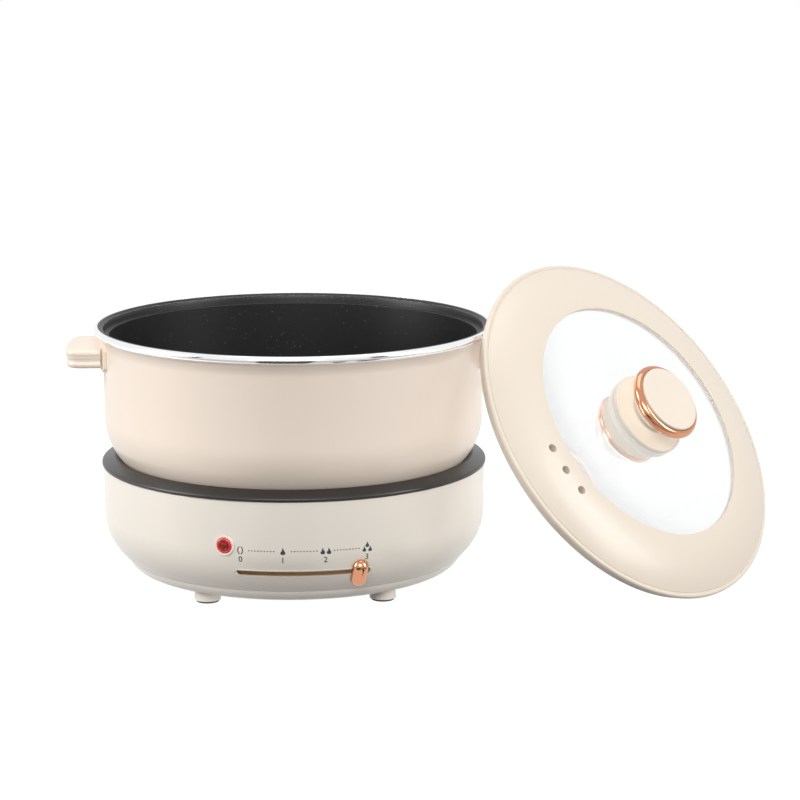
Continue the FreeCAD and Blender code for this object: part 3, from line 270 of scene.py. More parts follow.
def turned_tree():
    """Turns an outline, held as the points of a mesh in the XZ plane, about the Z axis."""
    tree, source = new_tree(TURNED, [("Steps", "Int"), ("Material", "Material")])
    sizes = put(tree, "GeometryNodeAttributeDomainSize", {"component": "MESH"}, i0=source["Geometry"])
    count = sizes["Point Count"]
    columns = maths(tree, "ADD", source["Steps"], 1)
    grid = put(tree, "GeometryNodeMeshGrid", Vertices_X=columns, Vertices_Y=count)[0]
    index = put(tree, "GeometryNodeInputIndex")[0]
    column = maths(tree, "FLOOR", maths(tree, "DIVIDE", maths(tree, "ADD", index, 0.5), count))
    row = maths(tree, "SUBTRACT", index, maths(tree, "MULTIPLY", column, count))
    place = put(tree, "GeometryNodeInputPosition")[0]
    sampled = put(tree, "GeometryNodeSampleIndex", {"data_type": "FLOAT_VECTOR"},
                  Geometry=source["Geometry"], Value=place, Index=row)[0]
    parts = put(tree, "ShaderNodeSeparateXYZ", Vector=sampled)
    turn = maths(tree, "MULTIPLY", column, maths(tree, "DIVIDE", 2 * math.pi, source["Steps"]))
    x = maths(tree, "MULTIPLY", parts["X"], maths(tree, "COSINE", turn))
    y = maths(tree, "MULTIPLY", parts["X"], maths(tree, "SINE", turn))
    target = put(tree, "ShaderNodeCombineXYZ", X=x, Y=y, Z=parts["Z"])[0]
    moved = put(tree, "GeometryNodeSetPosition", Geometry=grid, Position=target)[0]
    merged = put(tree, "GeometryNodeMergeByDistance", Geometry=moved, Distance=2e-6)[0]
    finish_tree(tree, merged, source["Material"])


def ring_tree():
    """Copies one small part round the Z axis, a fixed angle apart."""
    inputs = [("Count", "Int"), ("First Angle", "Float"), ("Step Angle", "Float"), ("Material", "Material")]
    tree, source = new_tree(RINGED, inputs)
    points = put(tree, "GeometryNodePoints", Count=source["Count"])[0]
    index = put(tree, "GeometryNodeInputIndex")[0]
    turn = maths(tree, "ADD", maths(tree, "MULTIPLY", index, source["Step Angle"]), source["First Angle"])
    turn = put(tree, "ShaderNodeCombineXYZ", Z=turn)[0]
    part = put(tree, "GeometryNodeGeometryToInstance", Geometry=source["Geometry"])[0]
    copies = put(tree, "GeometryNodeInstanceOnPoints", Points=points, Instance=part, Rotation=turn)[0]
    finish_tree(tree, copies, source["Material"])


def finish_tree(tree, geometry, material):
    real = put(tree, "GeometryNodeRealizeInstances", Geometry=geometry)[0]
    dressed = put(tree, "GeometryNodeSetMaterial", Geometry=real, Material=material)[0]
    tree.links.new(dressed, tree.nodes.new("NodeGroupOutput").inputs[0])


def run_tree(piece, tree_name, values):
    """Run a tree on a piece, keep its plain result and drop the modifier."""
    modifier = piece.modifiers.new(tree_name, "NODES")
    modifier.node_group = bpy.data.node_groups[tree_name]
    for item in modifier.node_group.interface.items_tree:
        if item.in_out == "INPUT" and item.name in values:
            modifier[item.identifier] = values[item.name]
    return baked(piece)


def plain_mesh(piece):
    """What a piece's modifiers or curve make of it, as a mesh."""
    graph = bpy.context.evaluated_depsgraph_get()
    return bpy.data.meshes.new_from_object(piece.evaluated_get(graph))


def baked(piece):
    """Replace a piece's mesh by what its modifiers make of it."""
    mesh = plain_mesh(piece)
    old = piece.data
    piece.modifiers.clear()
    piece.data = mesh
    bpy.data.meshes.remove(old)
    return piece


# Meshes

def linked(name, data):
    """A new object in the scene."""
    piece = bpy.data.objects.new(name, data)
    bpy.context.scene.collection.objects.link(piece)
    return piece


def piece_from(name, points, faces):
    mesh = bpy.data.meshes.new(name)
    mesh.from_pydata([tuple(p) for p in points], [], faces)
    return linked(name, mesh)


def reworked(mesh, change):
    """Change a mesh in place by a function of its bmesh."""
    shape = bmesh.new()
    shape.from_mesh(mesh)
    change(shape)
    shape.to_mesh(mesh)
    shape.free()


def outwards(piece):
    """Turn all faces of a closed piece outwards."""
    reworked(piece.data, lambda shape: bmesh.ops.recalc_face_normals(shape, faces=shape.faces))
    return piece


def smooth(piece, sharp_deg=32.0):
    piece.data.shade_smooth()
    piece.data.set_sharp_from_angle(angle=math.radians(sharp_deg))
    return piece


def paint(piece, finish):
    piece.data.materials.clear()
    piece.data.materials.append(FINISHES[finish])
    return piece


def turned(name, points, finish, soft, steps, place=None):
    """A closed piece turned about Z from an outline in millimetres."""
    on_axis = abs(points[0][0]) < 1e-6
    path = softened(outline(points), soft, closed=not on_axis)
    if not on_axis:
        path.append(path[0])
    piece = piece_from(name, [(p.x * MM, 0, p.y * MM) for p in path], [])
    outwards(run_tree(piece, TURNED, {"Steps": steps, "Material": FINISHES[finish]}))
    if place is not None:
        piece.data.transform(place)
    return smooth(piece)


def around(name, part, finish, count, first_deg, step_deg):
    """Copies of one part round the axis, as one piece."""
    part.name = name
    values = {"Count": count, "First Angle": math.radians(first_deg), "Step Angle": math.radians(step_deg)}
    return run_tree(part, RINGED, {**values, "Material": FINISHES[finish]})


def sector(name, columns, inner, outer):
    """A curved plate between two faces, each a function that gives the radius at a level."""
    points = []
    for a, low, high in columns:
        for face, z in ((inner, low), (outer, low), (outer, high), (inner, high)):
            points.append((face(z) * math.cos(a) * MM, face(z) * math.sin(a) * MM, z * MM))
    return tube(name, points, 4)


def stacked(name, rings):
    """A closed piece through a stack of outlines with equal counts of points, in metres."""
    return tube(name, [p for ring in rings for p in ring], len(rings[0]))


def tube(name, points, count):
    """A closed piece of rings of points, with a face over each end."""
    last = len(points) - count
    faces = [tuple(range(count)), tuple(range(last, len(points)))]
    for a in range(0, last, count):
        b = a + count
        faces += [(a + i, a + (i + 1) % count, b + (i + 1) % count, b + i) for i in range(count)]
    return outwards(piece_from(name, points, faces))


def rounded_columns(middle_deg, half_deg, r, z, h, corner, count=60):
    """Columns of a strip with rounded corners, for a sector."""
    columns = []
    width = math.radians(half_deg) * r
    for i in range(count + 1):
        t = -math.cos(math.pi * i / count)
        from_end = max(width - abs(t) * width, 0)
        inset = 0.0
        if from_end < corner:
            inset = corner - math.sqrt(max(corner ** 2 - (corner - from_end) ** 2, 0))
        half = h / 2 - min(inset, h / 2 - 0.02)
        columns.append((math.radians(middle_deg + t * half_deg), z - half, z + half))
    return columns


def block(name, low, high):
    """A box between two corners in millimetres."""
    (x0, y0, z0), (x1, y1, z1) = low, high
    plan = ((x0, y0), (x1, y0), (x1, y1), (x0, y1))
    return stacked(name, [[(x * MM, y * MM, z * MM) for x, y in plan] for z in (z0, z1)])


def rod(name, r, start, end, sides=48):
    """A round bar between two points in millimetres."""
    way = (Vector(end) - Vector(start)).normalized()
    across = way.orthogonal().normalized()
    other = way.cross(across)
    turn = [2 * math.pi * i / sides for i in range(sides)]
    spokes = [(across * math.cos(a) + other * math.sin(a)) * r for a in turn]
    return stacked(name, [[(Vector(at) + spoke) * MM for spoke in spokes] for at in (start, end)])


def cut_by(piece, cutters):
    """Take cutters away from a piece."""
    before = len(piece.data.polygons)
    for cutter in cutters:
        modifier = piece.modifiers.new("cut", "BOOLEAN")
        modifier.operation = "DIFFERENCE"
        modifier.solver = "EXACT"
        modifier.object = cutter
    baked(piece)
    for cutter in cutters:
        bpy.data.objects.remove(cutter)
    if len(piece.data.polygons) == before:
        raise RuntimeError(piece.name + " wasn't cut")
    return piece


def joined(name, pieces):
    """Several pieces as one."""
    whole = bmesh.new()
    for piece in pieces:
        whole.from_mesh(piece.data)
        bpy.data.objects.remove(piece)
    mesh = bpy.data.meshes.new(name)
    whole.to_mesh(mesh)
    whole.free()
    return linked(name, mesh)


def copied(node, name, finish, sharp_deg):
    """A smooth copy of a node of the frame, with its triangles joined."""
    def merge(shape):
        bmesh.ops.remove_doubles(shape, verts=shape.verts, dist=2e-6)
        bmesh.ops.dissolve_degenerate(shape, edges=shape.edges, dist=1e-7)

    mesh = frame["nodes"][node].data.copy()
    reworked(mesh, merge)
    if "custom_normal" in mesh.attributes:
        mesh.attributes.remove(mesh.attributes["custom_normal"])
    return smooth(paint(linked(name, mesh), finish), sharp_deg)


def settle(piece, body, slot, *nodes):
    """Let a finished piece ride on its body and stand for its nodes."""
    if not piece.data.polygons:
        raise RuntimeError(piece.name + " is empty")
    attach(piece, body)
    if nodes:
        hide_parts(*nodes)


def finish_nodes(finishes):
    """Give nodes of the frame their finishes."""
    for finish, nodes in finishes.items():
        for node in nodes.split():
            slots = frame["nodes"][node].material_slots
            if not slots:
                raise RuntimeError(node + " has no material slot")
            for slot in slots:
                slot.material = FINISHES[finish]


# Finishes

def worked(operation, swapped=False):
    """A method of Value that does one sum."""
    return lambda value, other: value.sum(operation, other, swapped)


class Value:
    """A socket of a material, for sums written as plain expressions."""

    def __init__(self, tree, socket):
        self.tree = tree
        self.socket = socket

    def sum(self, operation, other, swapped):
        terms = (other, self) if swapped else (self, other)
        return Value(self.tree, maths(self.tree, operation, *terms))

    __add__ = __radd__ = worked("ADD")
    __mul__ = __rmul__ = worked("MULTIPLY")
    __sub__ = worked("SUBTRACT")
    __rsub__ = worked("SUBTRACT", True)
    __pow__ = worked("POWER")
    above = worked("GREATER_THAN")
    below = worked("LESS_THAN")
    least = worked("MINIMUM")
    most = worked("MAXIMUM")


class Finish:
    """One material: a surface shader and the patterns that feed it."""

    def __init__(self, name, **fixed):
        self.material = bpy.data.materials.new(name)
        self.material.use_nodes = True
        self.tree = self.material.node_tree
        self.shader = self.tree.nodes["Principled BSDF"]
        for label, value in fixed.items():
            self.shader.inputs[label.replace("_", " ")].default_value = value
        self.place = self.add("ShaderNodeTexCoord", output="Object")

    def add(self, kind, settings=None, output=0, **sockets):
        """Add a node and take one of its outputs."""
        return Value(self.tree, put(self.tree, kind, settings, **sockets)[output])

    def feed(self, label, value):
        self.tree.links.new(value.socket, self.shader.inputs[label])

    def noise(self, per_metre, detail=3.0, rough=0.5, place=None):
        return self.add("ShaderNodeTexNoise", Vector=place or self.place, Scale=per_metre, Detail=detail,
                        Roughness=rough)

    def cells(self, per_metre):
        """Distance from the middle of scattered cells."""
        return self.add("ShaderNodeTexVoronoi", {"feature": "F1"}, "Distance", Vector=self.place,
                        Scale=per_metre)

    def rings(self, pitch):
        """Waves about the upright axis, a pitch in metres apart."""
        x, y = (self.add("ShaderNodeSeparateXYZ", output=axis, i0=self.place) for axis in (0, 1))
        radius = (x * x + y * y) ** 0.5
        return self.add("ShaderNodeMath", {"operation": "SINE"}, i0=radius * (2 * math.pi / pitch))

    def blend(self, factor, first, second):
        """Two colours mixed by a value."""
        a, b = (tone if isinstance(tone, Value) else (*tone, 1) for tone in (first, second))
        return self.add("ShaderNodeMix", {"data_type": "RGBA"}, 2, i0=factor, i6=a, i7=b)

    def vary(self, factor, tone, low, high):
        """Feed the base colour with a tone that drifts between two shades."""
        self.feed("Base Color", self.blend(factor, shade(tone, low), shade(tone, high)))

    def bump(self, height, depth, strength):
        """Relief of a real depth in metres."""
        relief = self.add("ShaderNodeBump", Height=height, Distance=depth, Strength=strength)
        self.feed("Normal", relief)


def shade(tone, factor):
    return tuple(min(c * factor, 1.0) for c in tone)


def moulded(name, tone, roughness, coat, grain, depth, drift=0.012):
    """Satin plastic or enamel: a slow drift of tone, uneven gloss and a very fine skin."""
    finish = Finish(name, Coat_Weight=coat, Coat_Roughness=0.12, IOR=1.48)
    fleck = finish.noise(grain, 2.0, 0.6)
    finish.vary(finish.noise(18, 2.0) * 0.7 + fleck * 0.3, tone, 1 - drift, 1 + drift)
    finish.feed("Roughness", roughness + (finish.noise(35, 1.0) - 0.5) * 0.02 + (fleck - 0.5) * 0.04)
    finish.bump(fleck, depth, 0.6)
    return finish.material


def lining(name, tone):
    """Dark non-stick coating with fine light specks and faint turned rings on the floor."""
    finish = Finish(name, Coat_Weight=0.1, Coat_Roughness=0.35, IOR=1.4)
    specks = finish.cells(420.0).below(0.16) * finish.noise(260, 1.0).above(0.60)
    dust = finish.cells(1400.0).below(0.22) * 0.35
    base = finish.blend(finish.noise(30, 2.0), shade(tone, 0.85), shade(tone, 1.25))
    light = (specks * 0.55 + dust * 0.25).least(1.0)
    finish.feed("Base Color", finish.blend(light, base, (0.16, 0.17, 0.19)))
    finish.feed("Roughness", 0.44 + (finish.noise(500, 2.0) - 0.5) * 0.16)
    finish.bump(finish.noise(1500, 2.0) * 0.8 + finish.rings(0.0012083) * 0.12, 0.00004, 0.7)
    return finish.material


def bright(name, tone, roughness, grain, per_metre, depth=0.000006):
    """Bright metal with a drawn grain and faint handling marks."""
    finish = Finish(name, Metallic=1.0)
    drawn = finish.add("ShaderNodeMapping", Vector=finish.place, Scale=grain)
    lines = finish.noise(per_metre, 2.0, 0.5, drawn)
    smear = finish.noise(45, 3.0)
    finish.vary(lines, tone, 0.95, 1.04)
    finish.feed("Roughness", roughness + smear * roughness * 0.35 + lines * roughness * 0.2)
    finish.bump(lines, depth, 0.5)
    return finish.material


def faced(name, tone, roughness, pitch):
    """Metal faced on a lathe: fine rings about the axis."""
    finish = Finish(name, Metallic=1.0)
    wear = finish.noise(90, 4.0)
    finish.vary(wear, tone, 0.88, 1.05)
    finish.feed("Roughness", roughness + wear * 0.12)
    finish.bump(finish.rings(pitch) * 0.5 + wear * 0.5, 0.00001, 0.6)
    return finish.material


def glass(name, tone):
    """Clear toughened glass with a faint cool tint, barely uneven faces and a strong mirror image."""
    finish = Finish(name, Transmission_Weight=1.0, IOR=1.52)
    film = finish.noise(25, 3.0)
    finish.feed("Base Color", finish.blend(film, tone, (0.985, 0.995, 0.99)))
    finish.feed("Roughness", film * 0.012)
    clear = finish.shader.outputs[0]
    mirror = finish.add("ShaderNodeBsdfAnisotropic", Color=(0.97, 0.98, 0.98, 1), Roughness=0.01)
    face = finish.add("ShaderNodeLayerWeight", output="Facing", Blend=0.35)
    both = finish.add("ShaderNodeMixShader", i0=0.40 + face * 0.30, i1=clear, i2=mirror)
    finish.tree.links.new(both.socket, finish.tree.nodes["Material Output"].inputs["Surface"])
    return finish.material


def lens(name, tone):
    """Clear coloured lens with a fine fleck."""
    finish = Finish(name, Coat_Weight=0.8, Coat_Roughness=0.05, IOR=1.49)
    fleck = finish.noise(700, 2.0)
    finish.vary(fleck, tone, 0.85, 1.1)
    finish.feed("Roughness", 0.18 + fleck * 0.1)
    finish.bump(fleck, 0.00002, 0.4)
    return finish.material


def ink(name, tone):
    """Printed ink."""
    finish = Finish(name, IOR=1.45)
    fleck = finish.noise(2500, 2.0)
    finish.vary(fleck, tone, 0.8, 1.3)
    finish.feed("Roughness", 0.45 + fleck * 0.15)
    return finish.material


def make_finishes(colours):
    """All finishes by name."""
    kinds = {
        "pot_cream": (moulded, colours.pot_cream, 0.34, 0.15, 1100, 0.000012),
        "base_cream": (moulded, colours.base_cream, 0.30, 0.25, 900, 0.000006),
        "handle_cream": (moulded, colours.handle_cream, 0.38, 0.05, 1300, 0.00002),
        "lid_cream": (moulded, colours.lid_cream, 0.36, 0.08, 1200, 0.000015),
        "knob_cream": (moulded, colours.knob_cream, 0.33, 0.1, 1200, 0.000012),
        "lining": (lining, colours.lining_black),
        "collar": (moulded, colours.collar_grey, 0.34, 0.0, 1500, 0.00002, 0.12),
        "trim": (moulded, shade(colours.strip_brown, 0.12), 0.4, 0.0, 1200, 0.00001, 0.1),
        "strip": (moulded, colours.strip_brown, 0.42, 0.0, 1500, 0.00002, 0.15),
        "well": (moulded, (0.012, 0.012, 0.012), 0.5, 0.0, 1400, 0.00004, 0.2),
        "rubber": (moulded, (0.05, 0.05, 0.052), 0.7, 0.0, 1800, 0.00008, 0.15),
        "socket_black": (moulded, (0.014, 0.014, 0.015), 0.42, 0.0, 1600, 0.00004, 0.2),
        "switch_grey": (moulded, (0.05, 0.05, 0.055), 0.5, 0.0, 1400, 0.00004, 0.15),
        "lamp_pale": (moulded, (0.74, 0.71, 0.65), 0.3, 0.2, 1200, 0.00001, 0.02),
        "ceramic": (moulded, (0.72, 0.70, 0.66), 0.55, 0.0, 1000, 0.00005, 0.05),
        "silicone": (moulded, (0.86, 0.85, 0.83), 0.5, 0.0, 1500, 0.00002, 0.05),
        "lead_cover": (moulded, (0.55, 0.52, 0.46), 0.45, 0.0, 1600, 0.00004, 0.1),
        "chrome": (bright, (0.90, 0.905, 0.91), 0.07, (1, 1, 14), 500),
        "rose_gold": (bright, colours.rose_gold, 0.10, (1, 1, 0.08), 1400),
        "steel": (bright, (0.58, 0.58, 0.59), 0.24, (1, 1, 8), 900, 0.00001),
        "brass": (bright, (0.78, 0.60, 0.30), 0.22, (1, 8, 1), 900, 0.00001),
        "plate_metal": (faced, (0.66, 0.66, 0.67), 0.26, 0.0006),
        "disc_metal": (faced, (0.70, 0.70, 0.71), 0.22, 0.0009),
        "element_metal": (bright, (0.36, 0.33, 0.30), 0.38, (1, 1, 1), 700, 0.00002),
        "glass": (glass, (0.965, 0.985, 0.98)),
        "bulb_glass": (lens, (0.85, 0.32, 0.15)),
        "lamp_red": (lens, colours.lamp_red),
        "lamp_dark": (moulded, shade(colours.lamp_red, 0.22), 0.3, 0.2, 1200, 0.00001, 0.1),
        "print": (ink, colours.mark_grey),
    }
    return {name: kind(name, *rest) for name, (kind, *rest) in kinds.items()}


FINISHES = {}


# Places on the object

def surface_r(sizes, z):
    """Outer radius of the shell at a level."""
    if z >= sizes.bend_z:
        return SHELL_R
    return SHELL_R - sizes.bend_r + math.sqrt(sizes.bend_r ** 2 - (sizes.bend_z - z) ** 2)


def outward(deg, z, r):
    """A place on the front: local Z points away from the axis, at an angle from the front middle."""
    a = math.radians(deg + FRONT_DEG)
    away = Vector((math.cos(a), math.sin(a), 0))
    place = Matrix((UP.cross(away), UP, away)).transposed().to_4x4()
    place.translation = (away * r + UP * z) * MM
    return place


def lid_place():
    """The lid's own frame: X up its slope, Z out of its upper face, origin on its seat."""
    joint = next(j for j in frame["joints"] if j["name"] == "lid_lift")
    out = Vector(joint["axis"]).normalized()
    flat = Vector((out.x, out.y, 0)).normalized()
    rise = UP * math.hypot(out.x, out.y) - flat * out.z
    low, high = corners("knob_washer")
    place = Matrix((rise, out.cross(rise), out)).transposed().to_4x4()
    place.translation = ((low + high) / 2 - out * WASHER_Z) * MM
    return place


# Pot

class HOTPOT_OT_pot(bpy.types.Operator):
    """Pot wall, its dark lining and the bright disc underneath"""
    bl_idname = "hotpot.pot"
    bl_label = "Pot"

    def execute(self, context):
        sizes = given("pot")
        wall, corner, skin = sizes.wall_r, sizes.corner_r, sizes.lining_t
        inner, inner_c = wall - sizes.wall_t, corner - sizes.wall_t
        ledge_z = RIM_Z - sizes.ledge_drop
        ledge_r = inner + sizes.ledge_w
        floor = POT_BOTTOM_Z + sizes.wall_t
        seam_r = LIP_R - 3.35
        outer = [
            (0, POT_BOTTOM_Z), (wall - corner, POT_BOTTOM_Z), (wall, POT_BOTTOM_Z + corner, -corner),
            (wall, LIP_Z - 9.0), (LIP_R - 0.6, LIP_Z - 1.6, 18.0), (LIP_R, LIP_Z - 1.0, 1.0),
            (LIP_R, LIP_Z), (seam_r, LIP_Z), (seam_r, RIM_Z - 1.4), (ledge_r + 0.3 + skin, RIM_Z - 1.4),
            (ledge_r + skin, ledge_z - skin), (inner + skin, ledge_z - skin),
            (inner + skin, floor + inner_c), (wall - corner, floor - skin, inner_c + skin),
            (0, floor - skin),
        ]
        settle(turned("pot_wall", outer, "pot_cream", 0.5, 256), "pot", "cream_enamel", "pot_body")
        coat = [
            (0, floor - skin), (wall - corner, floor - skin),
            (inner + skin, floor + inner_c, -inner_c - skin), (inner + skin, ledge_z - skin),
            (ledge_r + skin, ledge_z - skin), (ledge_r + 0.3 + skin, RIM_Z - 1.4), (seam_r, RIM_Z - 1.4),
            (seam_r, LIP_Z + 0.1), (RIM_R - 3.1, LIP_Z + 0.1), (RIM_R - 3.1, RIM_Z - 0.1),
            (RIM_R - 4.6, RIM_Z, 3.0), (ledge_r + 0.6, RIM_Z - 1.6, 2.4), (ledge_r + 0.1, RIM_Z - 3.4),
            (ledge_r, ledge_z), (inner + 0.5, ledge_z), (inner, ledge_z - 0.5, -0.5),
            (inner, floor + inner_c), (wall - corner, floor, inner_c), (0, floor),
        ]
        settle(turned("pot_lining", coat, "lining", 0.35, 256), "pot", "cream_enamel")
        finish_nodes({"disc_metal": "pot_base_disc"})
        return {"FINISHED"}


class HOTPOT_OT_rim(bpy.types.Operator):
    """Bright rolled band round the pot's edge"""
    bl_idname = "hotpot.rim"
    bl_label = "Rim band"

    def execute(self, context):
        band = given("pot").band_w
        bead = (RIM_Z - LIP_Z) / 2
        points = [
            (RIM_R - 3.05, LIP_Z + 0.1), (RIM_R - bead, LIP_Z), (RIM_R, LIP_Z + bead, -bead),
            (RIM_R - band, RIM_Z, -bead), (RIM_R - 3.05, RIM_Z - 0.05),
        ]
        settle(turned("rim_band", points, "chrome", 0.2, 320), "pot", "rim_chrome", "rim_ring")
        return {"FINISHED"}


def ear(way):
    """One handle: a flat ear with a grooved edge and a rounded plate at its root."""
    sizes = given("pot")
    low, high = corners("handle_right")
    wall, half, end = sizes.wall_r, sizes.handle_half, high.x
    z0, z1 = low.z + 2.2, high.z - 2.2
    edge = [
        (0, 3.0), (0.5, 1.5), (1.4, 0.6), (2.8, 0.35), (3.6, 0.55), (4.1, 0.9), (5.0, 1.1), (6.2, 1.0),
        (6.9, 0.7), (7.6, 0.45), (8.2, 0.55), (8.8, 0.4), (9.6, 0.1), (10.8, 0.0), (11.8, 0.3),
        (12.5, 1.1), (12.9, 2.2), (13, 3.4),
    ]
    rings = []
    for height, inset in edge:
        h, r, c = half - inset, end - inset, sizes.handle_corner - inset * 0.6
        middle = Vector((math.sqrt((r - c) ** 2 - (h - c) ** 2), h - c))
        stop = math.atan2(middle.y, middle.x)
        turn = [math.pi / 2 + (stop - math.pi / 2) * i / 8 for i in range(9)]
        side = [(middle.x + c * math.cos(a), middle.y + c * math.sin(a)) for a in turn]
        turn = [stop * (1 - 2 * i / 14) for i in range(1, 14)]
        front = [(r * math.cos(a), r * math.sin(a)) for a in turn]
        plan = [(wall + 0.3, h), *side, *front, *((x, -y) for x, y in reversed(side)), (wall + 0.3, -h)]
        rings.append([(x * MM, y * MM, (z0 + height) * MM) for x, y in plan])
    grip = stacked("grip", rings)
    spread = math.degrees((half + 2.2) / wall)
    columns = rounded_columns(0.0, spread, wall, (z0 + z1) / 2, z1 - z0 + 4.4, 4.0, 48)
    root = sector("root", columns, lambda z: wall + 0.1, lambda z: wall + 2.3)
    bevel = root.modifiers.new("edge", "BEVEL")
    bevel.width = 0.9 * MM
    bevel.segments = 4
    bevel.angle_limit = math.radians(40)
    both = joined("ear", [grip, baked(root)])
    both.data.transform(Matrix.Rotation(way, 4, "Z"))
    return smooth(paint(both, "handle_cream"), 40.0)


class HOTPOT_OT_handles(bpy.types.Operator):
    """Two ear handles with their lugs and screws"""
    bl_idname = "hotpot.handles"
    bl_label = "Handles"

    def execute(self, context):
        for side, way in (("left", math.pi), ("right", 0.0)):
            grip = ear(way)
            grip.name = grip.data.name = "grip_" + side
            settle(grip, "pot", "handle_cream", "handle_" + side)
        finish_nodes({"steel": "handle_lug_left handle_lug_right handle_screws"})
        return {"FINISHED"}


# Base

def slot_sector(name, sizes, margin, inner, outer):
    """A plate in the shape of the control slot, grown by a margin."""
    r = surface_r(sizes, sizes.slot_z)
    h = sizes.slot_h + 2 * margin
    half = sizes.slot_half + math.degrees(margin / r)
    columns = rounded_columns(FRONT_DEG + sizes.slot_mid, half, r, sizes.slot_z, h, h / 2)
    return sector(name, columns, inner, outer)


class HOTPOT_OT_shell(bpy.types.Operator):
    """Base shell with its slot, lamp hole and inlet opening"""
    bl_idname = "hotpot.shell"
    bl_label = "Base shell"

    def execute(self, context):
        sizes = given("base")
        bend, bend_z, t = sizes.bend_r, sizes.bend_z, sizes.shell_t
        middle = SHELL_R - bend
        foot_r, inner_foot = (middle + math.sqrt(r ** 2 - (bend_z - SEAM_Z) ** 2) for r in (bend, bend - t))
        points = [
            (foot_r, SEAM_Z), (SHELL_R, bend_z, -bend), (SHELL_R, SHELL_TOP_Z - 0.8),
            (SHELL_R - 0.8, SHELL_TOP_Z, -0.8), (SHELL_R - t, SHELL_TOP_Z), (SHELL_R - t, bend_z),
            (inner_foot, SEAM_Z, bend - t),
        ]
        shell = turned("shell", points, "base_cream", 0.25, 288)
        slot = slot_sector("slot_cut", sizes, 0, lambda z: SHELL_R - 26, lambda z: SHELL_R + 3)
        way = outward(sizes.lamp_deg, sizes.lamp_z, 0)
        away = way.col[2].to_3d()
        start = way.translation / MM
        hole_r = sizes.lamp_r + BEZEL_W + BEZEL_GAP
        lamp_hole = rod("lamp_cut", hole_r, start + away * (SHELL_R - 12), start + away * (SHELL_R + 4))
        low, high = corners("power_inlet")
        inlet = block("inlet_cut", (low.x - 0.3, high.y - 5.2, low.z - 0.3),
                      (high.x + 0.3, SHELL_R + 2, high.z + 0.3))
        cut_by(shell, [slot, lamp_hole, inlet])
        settle(smooth(paint(shell, "base_cream"), 28.0), "base", "base_cream", "base_shell")
        lip = slot_sector("slot_lip", sizes, 0.75, lambda z: surface_r(sizes, z) - 0.8,
                          lambda z: surface_r(sizes, z) + 0.3)
        hole = slot_sector("lip_cut", sizes, 0.02, lambda z: SHELL_R - 20, lambda z: SHELL_R + 3)
        cut_by(lip, [hole])
        settle(smooth(paint(lip, "lamp_pale"), 30.0), "base", "base_cream")
        return {"FINISHED"}


class HOTPOT_OT_collar(bpy.types.Operator):
    """Dark collar with its thin trim, and the well under the pot"""
    bl_idname = "hotpot.collar"
    bl_label = "Collar and well"

    def execute(self, context):
        inner, skirt = TRIM_R + 0.15, SHELL_R - 2.75
        points = [
            (inner, COLLAR_TOP_Z), (inner, COLLAR_TOP_Z - 2.0), (skirt - 2, SHELL_TOP_Z),
            (skirt - 2, COLLAR_FOOT_Z), (skirt, COLLAR_FOOT_Z), (skirt, SHELL_TOP_Z),
            (COLLAR_R - 0.25, SHELL_TOP_Z), (COLLAR_R, SHELL_TOP_Z + 0.5), (COLLAR_R, SHELL_TOP_Z + 1.7),
            (COLLAR_R - 1.1, SHELL_TOP_Z + 2.95, -1.6),
        ]
        settle(turned("collar", points, "collar", 0.5, 256), "base", "collar_dark", "collar_ring")
        trim = [
            (TRIM_R - 1.2, TRIM_Z), (TRIM_R, TRIM_Z), (TRIM_R, COLLAR_TOP_Z - 0.1),
            (TRIM_R - 0.7, COLLAR_TOP_Z, -1.2), (TRIM_R - 1.2, COLLAR_TOP_Z - 0.5, -0.5),
        ]
        settle(turned("collar_line", trim, "trim", 0.1, 256), "base", "trim_brown", "collar_trim")
        finish_nodes({"well": "well_pan"})
        return {"FINISHED"}


def slider(sizes):
    """Upright rounded knob that follows the shell's slope."""
    z = sizes.slot_z
    lean = math.asin((sizes.bend_z - z) / sizes.bend_r)
    half, least, straight, depth = 5.6, 0.4, 9.6, 6.0
    turn = [math.pi * k / 16 for k in range(17)]
    rings = []
    for i in range(15):
        t = math.sin(math.pi / 2 * i / 14)
        r = least + (half - least) * math.sqrt(1 - t * t)
        top = [(r * math.cos(a), straight / 2 + r * math.sin(a)) for a in turn]
        plan = top + [(-x, -y) for x, y in top]
        rings.append([(x * MM, y * MM, depth * t * MM) for x, y in plan])
    knob = stacked("heat_knob", rings)
    place = outward(sizes.knob_deg, z, surface_r(sizes, z)) @ Matrix.Rotation(lean, 4, "X")
    knob.data.transform(place @ Matrix.Translation((0, 0, 0.6 * MM)))
    return smooth(paint(knob, "rose_gold"), 50.0)


